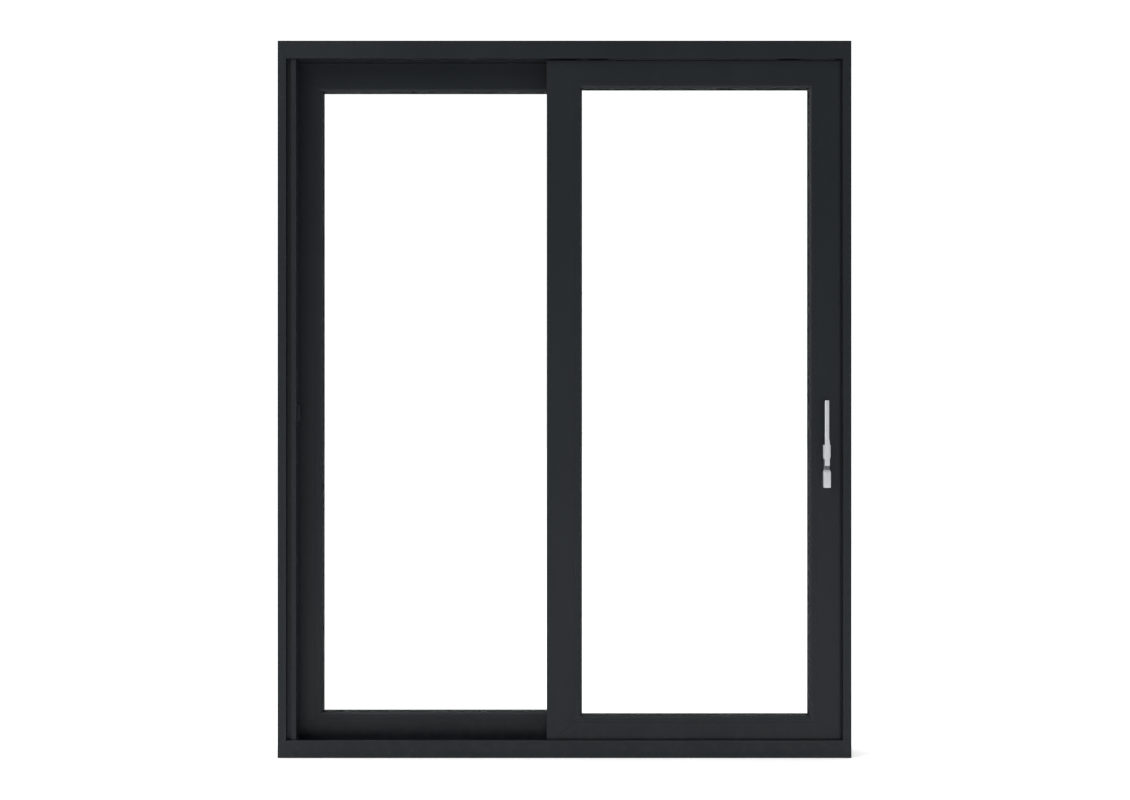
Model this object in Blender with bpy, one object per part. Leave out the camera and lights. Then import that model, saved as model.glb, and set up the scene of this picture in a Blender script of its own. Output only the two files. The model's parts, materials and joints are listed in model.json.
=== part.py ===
"""A two-panel sliding patio door: a fixed panel on the left, and a sash that rolls in front of it.

+X is to the right and +Z is up, as seen from the room. The room is on the -Y side. The origin is the
middle of the sill's underside. Every length is in metres.
"""

import math

import bmesh
import bpy
from mathutils import Vector

# The frame that is fixed in the wall
FRAME_WIDTH = 1.680
FRAME_HEIGHT = 2.100
FRAME_DEPTH = 0.140
JAMB_FACE = 0.025  # how wide each jamb looks from the room
RAIL_FACE = 0.052  # how high the head and the sill look from the room
FRAME_WALL = 0.003
SILL_LIP = 0.005  # thickness of the upstand that hides the sash's foot
SILL_FLOOR = 0.020  # height of the floor that the rail lies on
SILL_PLATFORM = 0.0367  # height of the step that the fixed panel stands on

# What both panels share
PANEL_THICKNESS = 0.044
PANEL_WALL = 0.002
GLAZING_LEG = 0.005  # the fixed lip outside the glass
REBATE = 0.020  # how far the glazing rebate reaches outwards from the sight line
BEAD_DEPTH = 0.013
BEAD_BEVEL = 0.006
GASKET_SHOWS = 0.0004  # how far the gasket reaches past the bead over the glass
GASKET_WIDTH = 0.010
GASKET_THICKNESS = 0.003
PANE_THICKNESS = 0.004
GLASS_UNIT = 0.020
GLASS_BITE = 0.014  # how deep the glass sits behind the sight line
SPACER_WIDTH = 0.010
SIGHT_LOW = 0.1217
SIGHT_HIGH = 1.9632

# Where each panel is
SASH_FRONT = -0.060
SASH_EDGES = (-0.0522, 0.8083)
SASH_SIGHT = (0.0510, 0.7175)
SASH_FOOT = 0.0345
SASH_TOP = 2.044
FIXED_FRONT = -0.005
FIXED_EDGES = (-0.8147, 0.0520)
FIXED_SIGHT = (-0.7177, -0.0511)

# The running gear
TRACK_Y = -0.038
RAIL_TOP = 0.0315
FIN_WIDTH = 0.003
WHEEL_RADIUS = 0.015
WHEEL_RUNNING_RADIUS = 0.013
WHEEL_WIDTH = 0.008
AXLE_RADIUS = 0.0025
CHANNEL_WIDTH = 0.024  # the groove under the sash that takes the roller housings
CHANNEL_DEPTH = 0.030
HOUSING_LENGTH = 0.090
HEAD_SLOT_WIDTH = 0.016
HEAD_SLOT_DEPTH = 0.016
ROLLER_X = {"left": 0.100, "right": 0.660}

# The stop on the left jamb
STOP_RIB = (-0.8007, -0.7866)
STOP_FRONT = -0.0645
STOP_WEB = -0.0565
BUFFER_THICKNESS = 0.006

# The strip that closes the gap between the sash's lock side and the right jamb
STRIP_FRONT = -0.0560

# The handle and the lock in the lock stile
SPINDLE_X = 0.7684
SPINDLE_Z = 0.890
SPINDLE_SIDE = 0.007
SPINDLE_HOLE = 0.007
LEVER_BACK = -0.0840
LEVER_THICKNESS = 0.008
NECK_RADIUS = 0.0060
HOOK_X = 0.790
HOOK_Z = 0.872
HOOK_REACH = 0.0355
HOOK_THICKNESS = 0.004
HOOK_HALF = 0.006
NOSE_LENGTH = 0.008
NOSE_DROP = 0.014
LOCK_CASE_HEIGHTS = (0.800, 0.975)
LOCK_CASE_DEPTHS = (-0.047, -0.029)

GAP = 0.0003  # between pieces that touch
MITRE_GAP = GAP / 2  # each bar stops this short of the mitre
EDGE_RADIUS = 0.0010  # how far the bars' outside edges are rounded
FINE_RADIUS = 0.0005
REACH = 0.010  # how far a cutter runs past the face that it cuts


def clear_scene():
    for old in list(bpy.data.objects):
        bpy.data.objects.remove(old, do_unlink=True)


FINISHES = {
    "graphite coat": ((0.022, 0.026, 0.029), 0.42, 0.0),
    "satin silver": ((0.56, 0.56, 0.55), 0.30, 1.0),
    "bare steel": ((0.50, 0.50, 0.49), 0.28, 1.0),
    "black rubber": ((0.008, 0.008, 0.008), 0.75, 0.0),
    "black nylon": ((0.020, 0.020, 0.021), 0.50, 0.0),
    "mill aluminium": ((0.62, 0.63, 0.64), 0.35, 1.0),
    "clear glass": ((0.90, 0.96, 0.94), 0.02, 0.0),
}


def finish(name):
    """The material of that name, made when it is first asked for."""
    made = bpy.data.materials.get(name)
    if made:
        return made
    colour, roughness, metallic = FINISHES[name]
    made = bpy.data.materials.new(name)
    made.use_nodes = True
    shader = made.node_tree.nodes["Principled BSDF"]
    shader.inputs["Base Color"].default_value = (*colour, 1.0)
    shader.inputs["Roughness"].default_value = roughness
    shader.inputs["Metallic"].default_value = metallic
    shader.inputs["Transmission Weight"].default_value = 1.0 if name == "clear glass" else 0.0
    return made


def add_object(name, bm, finish_name, origin=(0.0, 0.0, 0.0), smooth_angle=None):
    """Turns bm, in world coordinates, into an object whose origin is at the given point."""
    bmesh.ops.recalc_face_normals(bm, faces=bm.faces)
    bmesh.ops.translate(bm, vec=-Vector(origin), verts=bm.verts)
    mesh = bpy.data.meshes.new(name)
    bm.to_mesh(mesh)
    bm.free()
    if smooth_angle:
        mesh.shade_smooth()
        mesh.set_sharp_from_angle(angle=math.radians(smooth_angle))
    mesh.materials.append(finish(finish_name))
    made = bpy.data.objects.new(name, mesh)
    made.location = origin
    bpy.context.scene.collection.objects.link(made)
    return made


def block(low, high):
    """A bmesh box between two corners."""
    bm = bmesh.new()
    bmesh.ops.create_cube(bm, size=1.0)
    low, high = Vector(low), Vector(high)
    for vert in bm.verts:
        vert.co = Vector((low[i] + (vert.co[i] + 0.5) * (high[i] - low[i]) for i in range(3)))
    return bm


def rod(centre, radius, y_from, y_to, segments=24):
    """A bmesh cylinder along Y. centre is its (x, z)."""
    bm = bmesh.new()
    rings = []
    for y in (y_from, y_to):
        rings.append(
            [
                bm.verts.new((centre[0] + radius * math.cos(a), y, centre[1] + radius * math.sin(a)))
                for a in (2 * math.pi * i / segments for i in range(segments))
            ]
        )
    bridge(bm, rings)
    return bm


def bridge(bm, rings):
    """Closes a stack of rings of equal count into one body, with a face on each end."""
    for lower, upper in zip(rings, rings[1:]):
        for i, vert in enumerate(lower):
            j = (i + 1) % len(lower)
            bm.faces.new((vert, lower[j], upper[j], upper[i]))
    bm.faces.new(list(reversed(rings[0])))
    bm.faces.new(rings[-1])


def cut(target, bm):
    """Cuts the shape in bm out of target, and leaves the cutter hidden beside it."""
    combine(target, bm, "DIFFERENCE")


def weld_on(target, bm):
    """Joins the shape in bm to target as one body."""
    combine(target, bm, "UNION")


def combine(target, bm, operation):
    count = len(target.modifiers) + 1
    tool = add_object(f"{target.name}_tool_{count}", bm, "mill aluminium")
    tool.hide_render = True
    tool.display_type = "WIRE"
    modifier = target.modifiers.new(f"{operation.lower()} {count}", "BOOLEAN")
    modifier.object = tool
    modifier.operation = operation


def rounded(loop):
    """The outline with each (a, b, radius) corner turned into a small curve. An (a, b) corner stays sharp."""
    points = []
    for i, corner in enumerate(loop):
        point = Vector(corner[:2])
        if len(corner) == 2:
            points.append(tuple(point))
            continue
        radius = corner[2]
        before = Vector(loop[i - 1][:2])
        after = Vector(loop[(i + 1) % len(loop)][:2])
        start = point + (before - point).normalized() * radius
        end = point + (after - point).normalized() * radius
        points += [tuple(start), tuple(start * 0.25 + point * 0.5 + end * 0.25), tuple(end)]
    return points


def extrusion(name, loops, place, start, end, finish_name):
    """A straight bar. loops[0] outlines its section and the others are its chambers, as (a, b) points.

    A corner may be given as (a, b, radius) to round it. place(a, b, along) gives a point of the door.
    start(b) and end(b) say where the bar is cut, so that an end that depends on b is a mitre.
    """
    bm = bmesh.new()
    caps = ([], [])
    for loop in map(rounded, loops):
        rings = [
            [bm.verts.new(place(a, b, cut_at(b))) for a, b in loop] for cut_at in (start, end)
        ]
        for i in range(len(loop)):
            j = (i + 1) % len(loop)
            side = bm.faces.new((rings[0][i], rings[0][j], rings[1][j], rings[1][i]))
            for cap, ring in zip(caps, rings):
                cap.append(next(e for e in side.edges if set(e.verts) == {ring[i], ring[j]}))
    for cap in caps:
        bmesh.ops.triangle_fill(bm, edges=cap, use_beauty=True)
    return add_object(name, bm, finish_name)


def rectangle(a_low, a_high, b_low, b_high, radius=None):
    """The outline of a rectangle in a section, with its corners rounded if a radius is given."""
    corners = [(a_low, b_low), (a_high, b_low), (a_high, b_high), (a_low, b_high)]
    return [(*corner, radius) for corner in corners] if radius else corners


def upright_bar(name, loops, low, high, finish_name):
    """A bar along Z with square ends. Its section's points are (x, y)."""
    return extrusion(
        name, loops, lambda x, y, z: (x, y, z), lambda y: low, lambda y: high, finish_name
    )


def level_bar(name, loops, left, right, finish_name):
    """A bar along X with square ends. Its section's points are (y, z)."""
    return extrusion(
        name, loops, lambda y, z, x: (x, y, z), lambda z: left, lambda z: right, finish_name
    )


# ---------------------------------------------------------------- the frame


def head_section():
    """Head, as (y, distance down from the top), with the slot that guides the sash."""
    front, back = -FRAME_DEPTH / 2, FRAME_DEPTH / 2
    slot = (TRACK_Y - HEAD_SLOT_WIDTH / 2, TRACK_Y + HEAD_SLOT_WIDTH / 2)
    slot_top = RAIL_FACE - HEAD_SLOT_DEPTH
    outline = [
        (front, 0.0, EDGE_RADIUS),
        (back, 0.0, EDGE_RADIUS),
        (back, RAIL_FACE, EDGE_RADIUS),
        (slot[1], RAIL_FACE, FINE_RADIUS),
        (slot[1], slot_top),
        (slot[0], slot_top),
        (slot[0], RAIL_FACE, FINE_RADIUS),
        (front, RAIL_FACE, EDGE_RADIUS),
    ]
    wall = FRAME_WALL
    chambers = [
        rectangle(front + wall, slot[0] - wall, wall, RAIL_FACE - wall),
        rectangle(slot[0], slot[1], wall, slot_top - wall),
        rectangle(slot[1] + wall, back - wall, wall, RAIL_FACE - wall),
    ]
    return [outline, *chambers]


def sill_section():
    """Sill, as (y, height): a front lip, the rail's trough, the fixed panel's step and a nose for rain."""
    front, back = -FRAME_DEPTH / 2, FRAME_DEPTH / 2
    step_front = -0.008
    upstand = FIXED_FRONT + PANEL_THICKNESS + GAP
    upstand_back = upstand + 0.004
    outline = [
        (front, 0.0, EDGE_RADIUS),
        (back, 0.0, EDGE_RADIUS),
        (back, 0.018, EDGE_RADIUS),
        (upstand_back, 0.026),
        (upstand_back, RAIL_FACE, EDGE_RADIUS),
        (upstand, RAIL_FACE, FINE_RADIUS),
        (upstand, SILL_PLATFORM),
        (step_front, SILL_PLATFORM, FINE_RADIUS),
        (step_front, SILL_FLOOR),
        (front + SILL_LIP, SILL_FLOOR),
        (front + SILL_LIP, RAIL_FACE, EDGE_RADIUS),
        (front, RAIL_FACE, EDGE_RADIUS),
    ]
    wall = FRAME_WALL
    chambers = [
        rectangle(front + wall, step_front - wall, wall, SILL_FLOOR - wall),
        rectangle(step_front + wall, upstand - wall, wall, SILL_PLATFORM - wall),
    ]
    return [outline, *chambers]


def jamb_section():
    """Jamb, as (y, distance in from the side), with two chambers."""
    front, back = -FRAME_DEPTH / 2, FRAME_DEPTH / 2
    wall = FRAME_WALL
    chambers = [
        rectangle(front + wall, -wall / 2, wall, JAMB_FACE - wall),
        rectangle(wall / 2, back - wall, wall, JAMB_FACE - wall),
    ]
    return [rectangle(front, back, 0.0, JAMB_FACE, EDGE_RADIUS), *chambers]


def build_frame():
    """Head, sill and jambs. The mitres run from outer to inner corner, so they aren't at 45 degrees."""
    half = FRAME_WIDTH / 2
    lean = JAMB_FACE / RAIL_FACE

    extrusion(
        "frame_head",
        head_section(),
        lambda y, inset, x: (x, y, FRAME_HEIGHT - inset),
        lambda inset: -half + MITRE_GAP + inset * lean,
        lambda inset: half - MITRE_GAP - inset * lean,
        "graphite coat",
    )
    extrusion(
        "frame_sill",
        sill_section(),
        lambda y, inset, x: (x, y, inset),
        lambda inset: -half + MITRE_GAP + inset * lean,
        lambda inset: half - MITRE_GAP - inset * lean,
        "graphite coat",
    )
    for side, sign in (("left", -1), ("right", 1)):
        jamb = extrusion(
            f"frame_jamb_{side}",
            jamb_section(),
            lambda y, inset, z, sign=sign: (sign * (half - inset), y, z),
            lambda inset: MITRE_GAP + inset / lean,
            lambda inset: FRAME_HEIGHT - MITRE_GAP - inset / lean,
            "graphite coat",
        )
    inner = half - JAMB_FACE
    cut(
        jamb,
        block(
            (inner - REACH, TRACK_Y - 0.0065, HOOK_Z - 0.018),
            (inner + 0.006, TRACK_Y + 0.0065, HOOK_Z + 0.034),
        ),
    )
    for screw_z in keeper_screw_heights():
        cut(jamb, screw_shape(inner - REACH, screw_z, 0.0023, 0.020))


def build_track():
    """The steel rail on the sill, and the plastic channel in the head's slot."""
    base_half, base_top = 0.006, SILL_FLOOR + GAP + 0.0015
    fin_half = FIN_WIDTH / 2
    rounding = 0.0006
    section = [
        (TRACK_Y - base_half, SILL_FLOOR + GAP),
        (TRACK_Y + base_half, SILL_FLOOR + GAP),
        (TRACK_Y + base_half, base_top),
        (TRACK_Y + fin_half, base_top),
        (TRACK_Y + fin_half, RAIL_TOP - rounding),
        (TRACK_Y + fin_half - rounding, RAIL_TOP),
        (TRACK_Y - fin_half + rounding, RAIL_TOP),
        (TRACK_Y - fin_half, RAIL_TOP - rounding),
        (TRACK_Y - fin_half, base_top),
        (TRACK_Y - base_half, base_top),
    ]
    left, right = STOP_RIB[1] + GAP, FRAME_WIDTH / 2 - JAMB_FACE - GAP
    level_bar("sill_rail", [section], left, right, "bare steel")

    wall = 0.0012
    outer = HEAD_SLOT_WIDTH / 2 - GAP
    inner = outer - wall
    low = FRAME_HEIGHT - RAIL_FACE + GAP
    top = low + HEAD_SLOT_DEPTH - 2 * GAP
    section = [
        (TRACK_Y - outer, low),
        (TRACK_Y - inner, low),
        (TRACK_Y - inner, top - wall),
        (TRACK_Y + inner, top - wall),
        (TRACK_Y + inner, low),
        (TRACK_Y + outer, low),
        (TRACK_Y + outer, top),
        (TRACK_Y - outer, top),
    ]
    level_bar("head_guide_channel", [section], left, right, "black nylon")


def build_stops():
    """The stop profile, its buffer, the bars outside the fixed panel, and the jambs' seal and strip."""
    jamb = -FRAME_WIDTH / 2 + JAMB_FACE + GAP
    back = FIXED_FRONT - GAP
    low, high = SILL_PLATFORM + GAP, FRAME_HEIGHT - RAIL_FACE - GAP
    outline = [
        (jamb, back),
        (jamb, STOP_WEB),
        (STOP_RIB[0], STOP_WEB),
        (STOP_RIB[0], STOP_FRONT, EDGE_RADIUS),
        (STOP_RIB[1], STOP_FRONT, EDGE_RADIUS),
        (STOP_RIB[1], back),
    ]
    wall = PANEL_WALL
    chamber = rectangle(jamb + wall, STOP_RIB[1] - wall, STOP_WEB + wall, back - wall)
    upright_bar("jamb_stop_profile", [outline, chamber], low, high, "graphite coat")

    buffer_left = STOP_RIB[1] + GAP
    bm = block(
        (buffer_left, TRACK_Y - 0.009, 0.985), (buffer_left + BUFFER_THICKNESS, TRACK_Y + 0.009, 1.035)
    )
    bmesh.ops.bevel(
        bm,
        geom=[e for e in bm.edges if all(v.co.x > buffer_left + GAP for v in e.verts)],
        offset=0.0025,
        segments=3,
        profile=0.5,
        affect="EDGES",
    )
    add_object("stop_buffer", bm, "black rubber", smooth_angle=40)

    outside = FIXED_FRONT + PANEL_THICKNESS + GAP
    bar_low, bar_depth, bar_width = RAIL_FACE + GAP, 0.008, 0.020
    upright_bar(
        "fixed_stop_left",
        [rectangle(jamb, jamb + bar_width, outside, outside + bar_depth, EDGE_RADIUS)],
        bar_low,
        high,
        "graphite coat",
    )
    level_bar(
        "fixed_stop_top",
        [rectangle(outside, outside + bar_depth, high - bar_width, high, EDGE_RADIUS)],
        jamb + bar_width + GAP,
        FIXED_EDGES[1],
        "graphite coat",
    )
    right = FRAME_WIDTH / 2 - JAMB_FACE - GAP
    strip_left = SASH_EDGES[1] + GAP
    upright_bar(
        "jamb_cover_strip",
        [rectangle(strip_left, right, STRIP_FRONT, STRIP_FRONT + 0.0025, FINE_RADIUS)],
        low,
        high,
        "graphite coat",
    )
    seal_front = SASH_FRONT + PANEL_THICKNESS + GAP
    upright_bar(
        "jamb_seal",
        [
            [
                (right, seal_front + 0.002),
                (right, seal_front + 0.009),
                (right - 0.006, seal_front + 0.009),
                (right - 0.014, seal_front + 0.003),
                (right - 0.014, seal_front),
                (right - 0.010, seal_front),
            ]
        ],
        low,
        high,
        "black rubber",
    )


# ---------------------------------------------------------------- the panels


def member_section(width, front, grooved):
    """A rail or stile, as (y, distance in from the panel's edge). A grooved one takes the rollers."""
    back = front + PANEL_THICKNESS
    rebate = width - REBATE
    wall = PANEL_WALL
    edge = [(front, 0.0, EDGE_RADIUS), (back, 0.0, EDGE_RADIUS)]
    chambers = [rectangle(front + wall, back - wall, wall, rebate - wall)]
    if grooved:
        groove = (TRACK_Y - CHANNEL_WIDTH / 2, TRACK_Y + CHANNEL_WIDTH / 2)
        edge = [
            (front, 0.0, EDGE_RADIUS),
            (groove[0], 0.0, FINE_RADIUS),
            (groove[0], CHANNEL_DEPTH),
            (groove[1], CHANNEL_DEPTH),
            (groove[1], 0.0, FINE_RADIUS),
            (back, 0.0, EDGE_RADIUS),
        ]
        chambers = [
            rectangle(front + wall, groove[0] - wall, wall, CHANNEL_DEPTH - wall),
            rectangle(groove[1] + wall, back - wall, wall, CHANNEL_DEPTH - wall),
            rectangle(front + wall, back - wall, CHANNEL_DEPTH + wall, rebate - wall),
        ]
    inner = [
        (back, width, EDGE_RADIUS),
        (back - GLAZING_LEG, width, FINE_RADIUS),
        (back - GLAZING_LEG, rebate),
        (front, rebate),
    ]
    return [edge + inner, *chambers]


def bead_section(width, front):
    """A glazing bead, as (y, distance in from the panel's edge), bevelled where it meets the glass."""
    outer, inner = width - REBATE + GAP, width - GASKET_SHOWS
    back = front + BEAD_DEPTH
    return [
        [
            (front, outer),
            (back, outer),
            (back, inner),
            (front + BEAD_BEVEL, inner, FINE_RADIUS),
            (front, inner - BEAD_BEVEL, FINE_RADIUS),
        ]
    ]


def ring(name, sight, inset_outer, inset_inner, y_from, y_to, finish_name):
    """A flat rectangular ring. Its edges lie this far outside the sight lines."""
    bm = bmesh.new()
    loops = []
    for inset in (inset_outer, inset_inner):
        x_low, x_high, z_low, z_high = (
            sight[0] - inset,
            sight[1] + inset,
            SIGHT_LOW - inset,
            SIGHT_HIGH + inset,
        )
        corners = [(x_low, z_low), (x_high, z_low), (x_high, z_high), (x_low, z_high)]
        loops.append([[bm.verts.new((x, y, z)) for x, z in corners] for y in (y_from, y_to)])
    for i in range(4):
        j = (i + 1) % 4
        (outer_front, outer_back), (inner_front, inner_back) = loops
        bm.faces.new((outer_front[i], outer_front[j], outer_back[j], outer_back[i]))
        bm.faces.new((inner_front[j], inner_front[i], inner_back[i], inner_back[j]))
        bm.faces.new((outer_front[j], outer_front[i], inner_front[i], inner_front[j]))
        bm.faces.new((outer_back[i], outer_back[j], inner_back[j], inner_back[i]))
    return add_object(name, bm, finish_name)


def mitred_set(panel, suffixes, section_of, edges, sight, heights):
    """Four bars around a panel, mitred from its corners to the corners of the sight line."""
    left, right = sight[0] - edges[0], edges[1] - sight[1]
    bottom, top = SIGHT_LOW - heights[0], heights[1] - SIGHT_HIGH
    bars = {
        "bottom": (bottom, left, right, lambda y, inset, x: (x, y, heights[0] + inset)),
        "top": (top, left, right, lambda y, inset, x: (x, y, heights[1] - inset)),
        "left": (left, bottom, top, lambda y, inset, z: (edges[0] + inset, y, z)),
        "right": (right, bottom, top, lambda y, inset, z: (edges[1] - inset, y, z)),
    }
    made = {}
    for side, (width, near, far, place) in bars.items():
        low, high = edges if side in ("bottom", "top") else heights
        made[side] = extrusion(
            f"{panel}_{suffixes[side]}",
            section_of(side, width),
            place,
            lambda inset, low=low, near=near, width=width: low + MITRE_GAP + inset * near / width,
            lambda inset, high=high, far=far, width=width: high - MITRE_GAP - inset * far / width,
            "graphite coat",
        )
    return made


def build_panel(panel, front, edges, sight, heights, stiles, grooved):
    """Four mitred members, four beads, and a double-glazed unit between two gaskets."""
    members = mitred_set(
        panel,
        {"top": "top_rail", "bottom": "bottom_rail", **stiles},
        lambda side, width: member_section(width, front, grooved and side == "bottom"),
        edges,
        sight,
        heights,
    )
    mitred_set(
        panel,
        {side: f"bead_{side}" for side in ("top", "bottom", "left", "right")},
        lambda side, width: bead_section(width, front),
        edges,
        sight,
        heights,
    )
    unit_front = front + BEAD_DEPTH + GASKET_THICKNESS
    unit_back = unit_front + GLASS_UNIT
    panes = {
        "glass_inner": (unit_front, unit_front + PANE_THICKNESS),
        "glass_outer": (unit_back - PANE_THICKNESS, unit_back),
    }
    for name, (y_from, y_to) in panes.items():
        low = (sight[0] - GLASS_BITE, y_from, SIGHT_LOW - GLASS_BITE)
        high = (sight[1] + GLASS_BITE, y_to, SIGHT_HIGH + GLASS_BITE)
        add_object(f"{panel}_{name}", block(low, high), "clear glass")
    ring(
        f"{panel}_glass_spacer",
        sight,
        GLASS_BITE - 0.001,
        GLASS_BITE - 0.001 - SPACER_WIDTH,
        unit_front + PANE_THICKNESS + GAP,
        unit_back - PANE_THICKNESS - GAP,
        "mill aluminium",
    )
    gaskets = {
        "gasket_inner": unit_front - GASKET_THICKNESS + GAP,
        "gasket_outer": unit_back + GAP,
    }
    for name, y_from in gaskets.items():
        y_to = y_from + GASKET_THICKNESS - 2 * GAP
        ring(f"{panel}_{name}", sight, GASKET_WIDTH, 0.0, y_from, y_to, "black rubber")
    return members


def build_interlocks():
    """Two hooked strips in the gap behind the meeting stiles, which grip each other while it's closed."""
    sheet = 0.0015
    low, high = 0.060, 2.030
    sash_back = SASH_FRONT + PANEL_THICKNESS + GAP
    fixed_face = FIXED_FRONT - GAP
    leg, tip, foot = 0.008, 0.004, 0.030
    upright_bar(
        "sash_interlock",
        [
            [
                (-foot, sash_back),
                (-leg, sash_back),
                (-leg, -0.0087),
                (tip, -0.0087),
                (tip, -0.0087 + sheet),
                (-leg - sheet, -0.0087 + sheet),
                (-leg - sheet, sash_back + sheet),
                (-foot, sash_back + sheet),
            ]
        ],
        low,
        high,
        "mill aluminium",
    )
    upright_bar(
        "fixed_interlock",
        [
            [
                (foot, fixed_face),
                (leg, fixed_face),
                (leg, -0.0110),
                (-tip, -0.0110),
                (-tip, -0.0110 - sheet),
                (leg + sheet, -0.0110 - sheet),
                (leg + sheet, fixed_face - sheet),
                (foot, fixed_face - sheet),
            ]
        ],
        low,
        high,
        "mill aluminium",
    )


# ---------------------------------------------------------------- the running gear


def turned(profile, centre, segments=32):
    """A bmesh ring: the closed (radius, y) profile turned about a line along Y through centre, an (x, z)."""
    bm = bmesh.new()
    sections = []
    for i in range(segments):
        angle = 2 * math.pi * i / segments
        sections.append(
            [
                bm.verts.new((centre[0] + r * math.cos(angle), y, centre[1] + r * math.sin(angle)))
                for r, y in profile
            ]
        )
    for i, section in enumerate(sections):
        following = sections[(i + 1) % segments]
        for j in range(len(section)):
            k = (j + 1) % len(section)
            bm.faces.new((section[j], section[k], following[k], following[j]))
    return bm


def build_roller(side, x):
    """A housing in the groove under the sash, an axle through its cheeks, and a grooved wheel on the axle."""
    wheel_z = RAIL_TOP + GAP + WHEEL_RUNNING_RADIUS
    half_length, half_width, cheek = HOUSING_LENGTH / 2, 0.010, 0.0025
    low, high = 0.0362, SASH_FOOT + CHANNEL_DEPTH - GAP
    housing = add_object(
        f"roller_housing_{side}",
        block((x - half_length, TRACK_Y - half_width, low), (x + half_length, TRACK_Y + half_width, high)),
        "bare steel",
    )
    inside = half_width - cheek
    cut(
        housing,
        block(
            (x - half_length - REACH, TRACK_Y - inside, low - REACH),
            (x + half_length + REACH, TRACK_Y + inside, high - 0.0022),
        ),
    )
    cut(housing, rod((x, wheel_z), AXLE_RADIUS + GAP, TRACK_Y - 0.020, TRACK_Y + 0.020))

    axle_half = 0.011
    axle = rod((x, wheel_z), AXLE_RADIUS, TRACK_Y - axle_half, TRACK_Y + axle_half, 20)
    add_object(f"roller_axle_{side}", axle, "bare steel", smooth_angle=40)

    bore, half = AXLE_RADIUS + GAP, WHEEL_WIDTH / 2
    groove = FIN_WIDTH / 2 + GAP
    chamfer = 0.0006
    profile = [
        (bore, TRACK_Y - half),
        (WHEEL_RADIUS - chamfer, TRACK_Y - half),
        (WHEEL_RADIUS, TRACK_Y - half + chamfer),
        (WHEEL_RADIUS, TRACK_Y - groove - chamfer),
        (WHEEL_RUNNING_RADIUS, TRACK_Y - groove),
        (WHEEL_RUNNING_RADIUS, TRACK_Y + groove),
        (WHEEL_RADIUS, TRACK_Y + groove + chamfer),
        (WHEEL_RADIUS, TRACK_Y + half - chamfer),
        (WHEEL_RADIUS - chamfer, TRACK_Y + half),
        (bore, TRACK_Y + half),
    ]
    add_object(
        f"roller_wheel_{side}",
        turned(profile, (x, wheel_z)),
        "black nylon",
        origin=(x, TRACK_Y, wheel_z),
        smooth_angle=30,
    )


def build_top_guide(side, x):
    """A nylon block on the top rail that runs in the head's channel."""
    low, high = SASH_TOP + GAP, SASH_TOP + 0.0145
    half_length, half_width = 0.030, 0.0055
    bm = block((x - half_length, TRACK_Y - half_width, low), (x + half_length, TRACK_Y + half_width, high))
    bmesh.ops.bevel(
        bm,
        geom=[e for e in bm.edges if all(v.co.z > low + GAP for v in e.verts)],
        offset=0.002,
        segments=2,
        profile=0.5,
        affect="EDGES",
    )
    add_object(f"top_guide_{side}", bm, "black nylon", smooth_angle=40)


# ---------------------------------------------------------------- the lock


def screw_shape(x_from, z, radius, length, segments=16):
    """A bmesh cylinder along X in the plane of the track."""
    bm = bmesh.new()
    rings = []
    for x in (x_from, x_from + length):
        rings.append(
            [
                bm.verts.new((x, TRACK_Y + radius * math.cos(a), z + radius * math.sin(a)))
                for a in (2 * math.pi * i / segments for i in range(segments))
            ]
        )
    bridge(bm, rings)
    return bm


def keeper_screw_heights():
    return HOOK_Z - 0.038, HOOK_Z + 0.052


def build_keeper():
    """The plate on the right jamb that the hook catches behind, and its two screws."""
    inner = FRAME_WIDTH / 2 - JAMB_FACE
    front, back = inner - 0.0025, inner - GAP
    plate = add_object(
        "lock_keeper",
        block((front, TRACK_Y - 0.011, HOOK_Z - 0.048), (back, TRACK_Y + 0.011, HOOK_Z + 0.062)),
        "bare steel",
    )
    cut(
        plate,
        block(
            (front - REACH, TRACK_Y - 0.0042, HOOK_Z - 0.0080),
            (back + REACH, TRACK_Y + 0.0042, HOOK_Z + 0.0310),
        ),
    )
    shank, head_radius, head_height = 0.0020, 0.0040, 0.0014
    for name, z in zip(("lower", "upper"), keeper_screw_heights()):
        cut(plate, screw_shape(front - REACH, z, shank + GAP, REACH + 0.010))
        cut(plate, screw_shape(front - REACH, z, head_radius + GAP, REACH + head_height + GAP))
        screw = add_object(
            f"keeper_screw_{name}",
            screw_shape(front + 0.0001, z, head_radius, head_height),
            "bare steel",
            smooth_angle=40,
        )
        weld_on(screw, screw_shape(front + 0.0005, z, shank, 0.012))


def lock_slot(x_from, x_to):
    """The space that the hook swings out through."""
    return block((x_from, TRACK_Y - 0.0035, HOOK_Z - 0.0080), (x_to, TRACK_Y + 0.0035, HOOK_Z + 0.0340))


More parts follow.
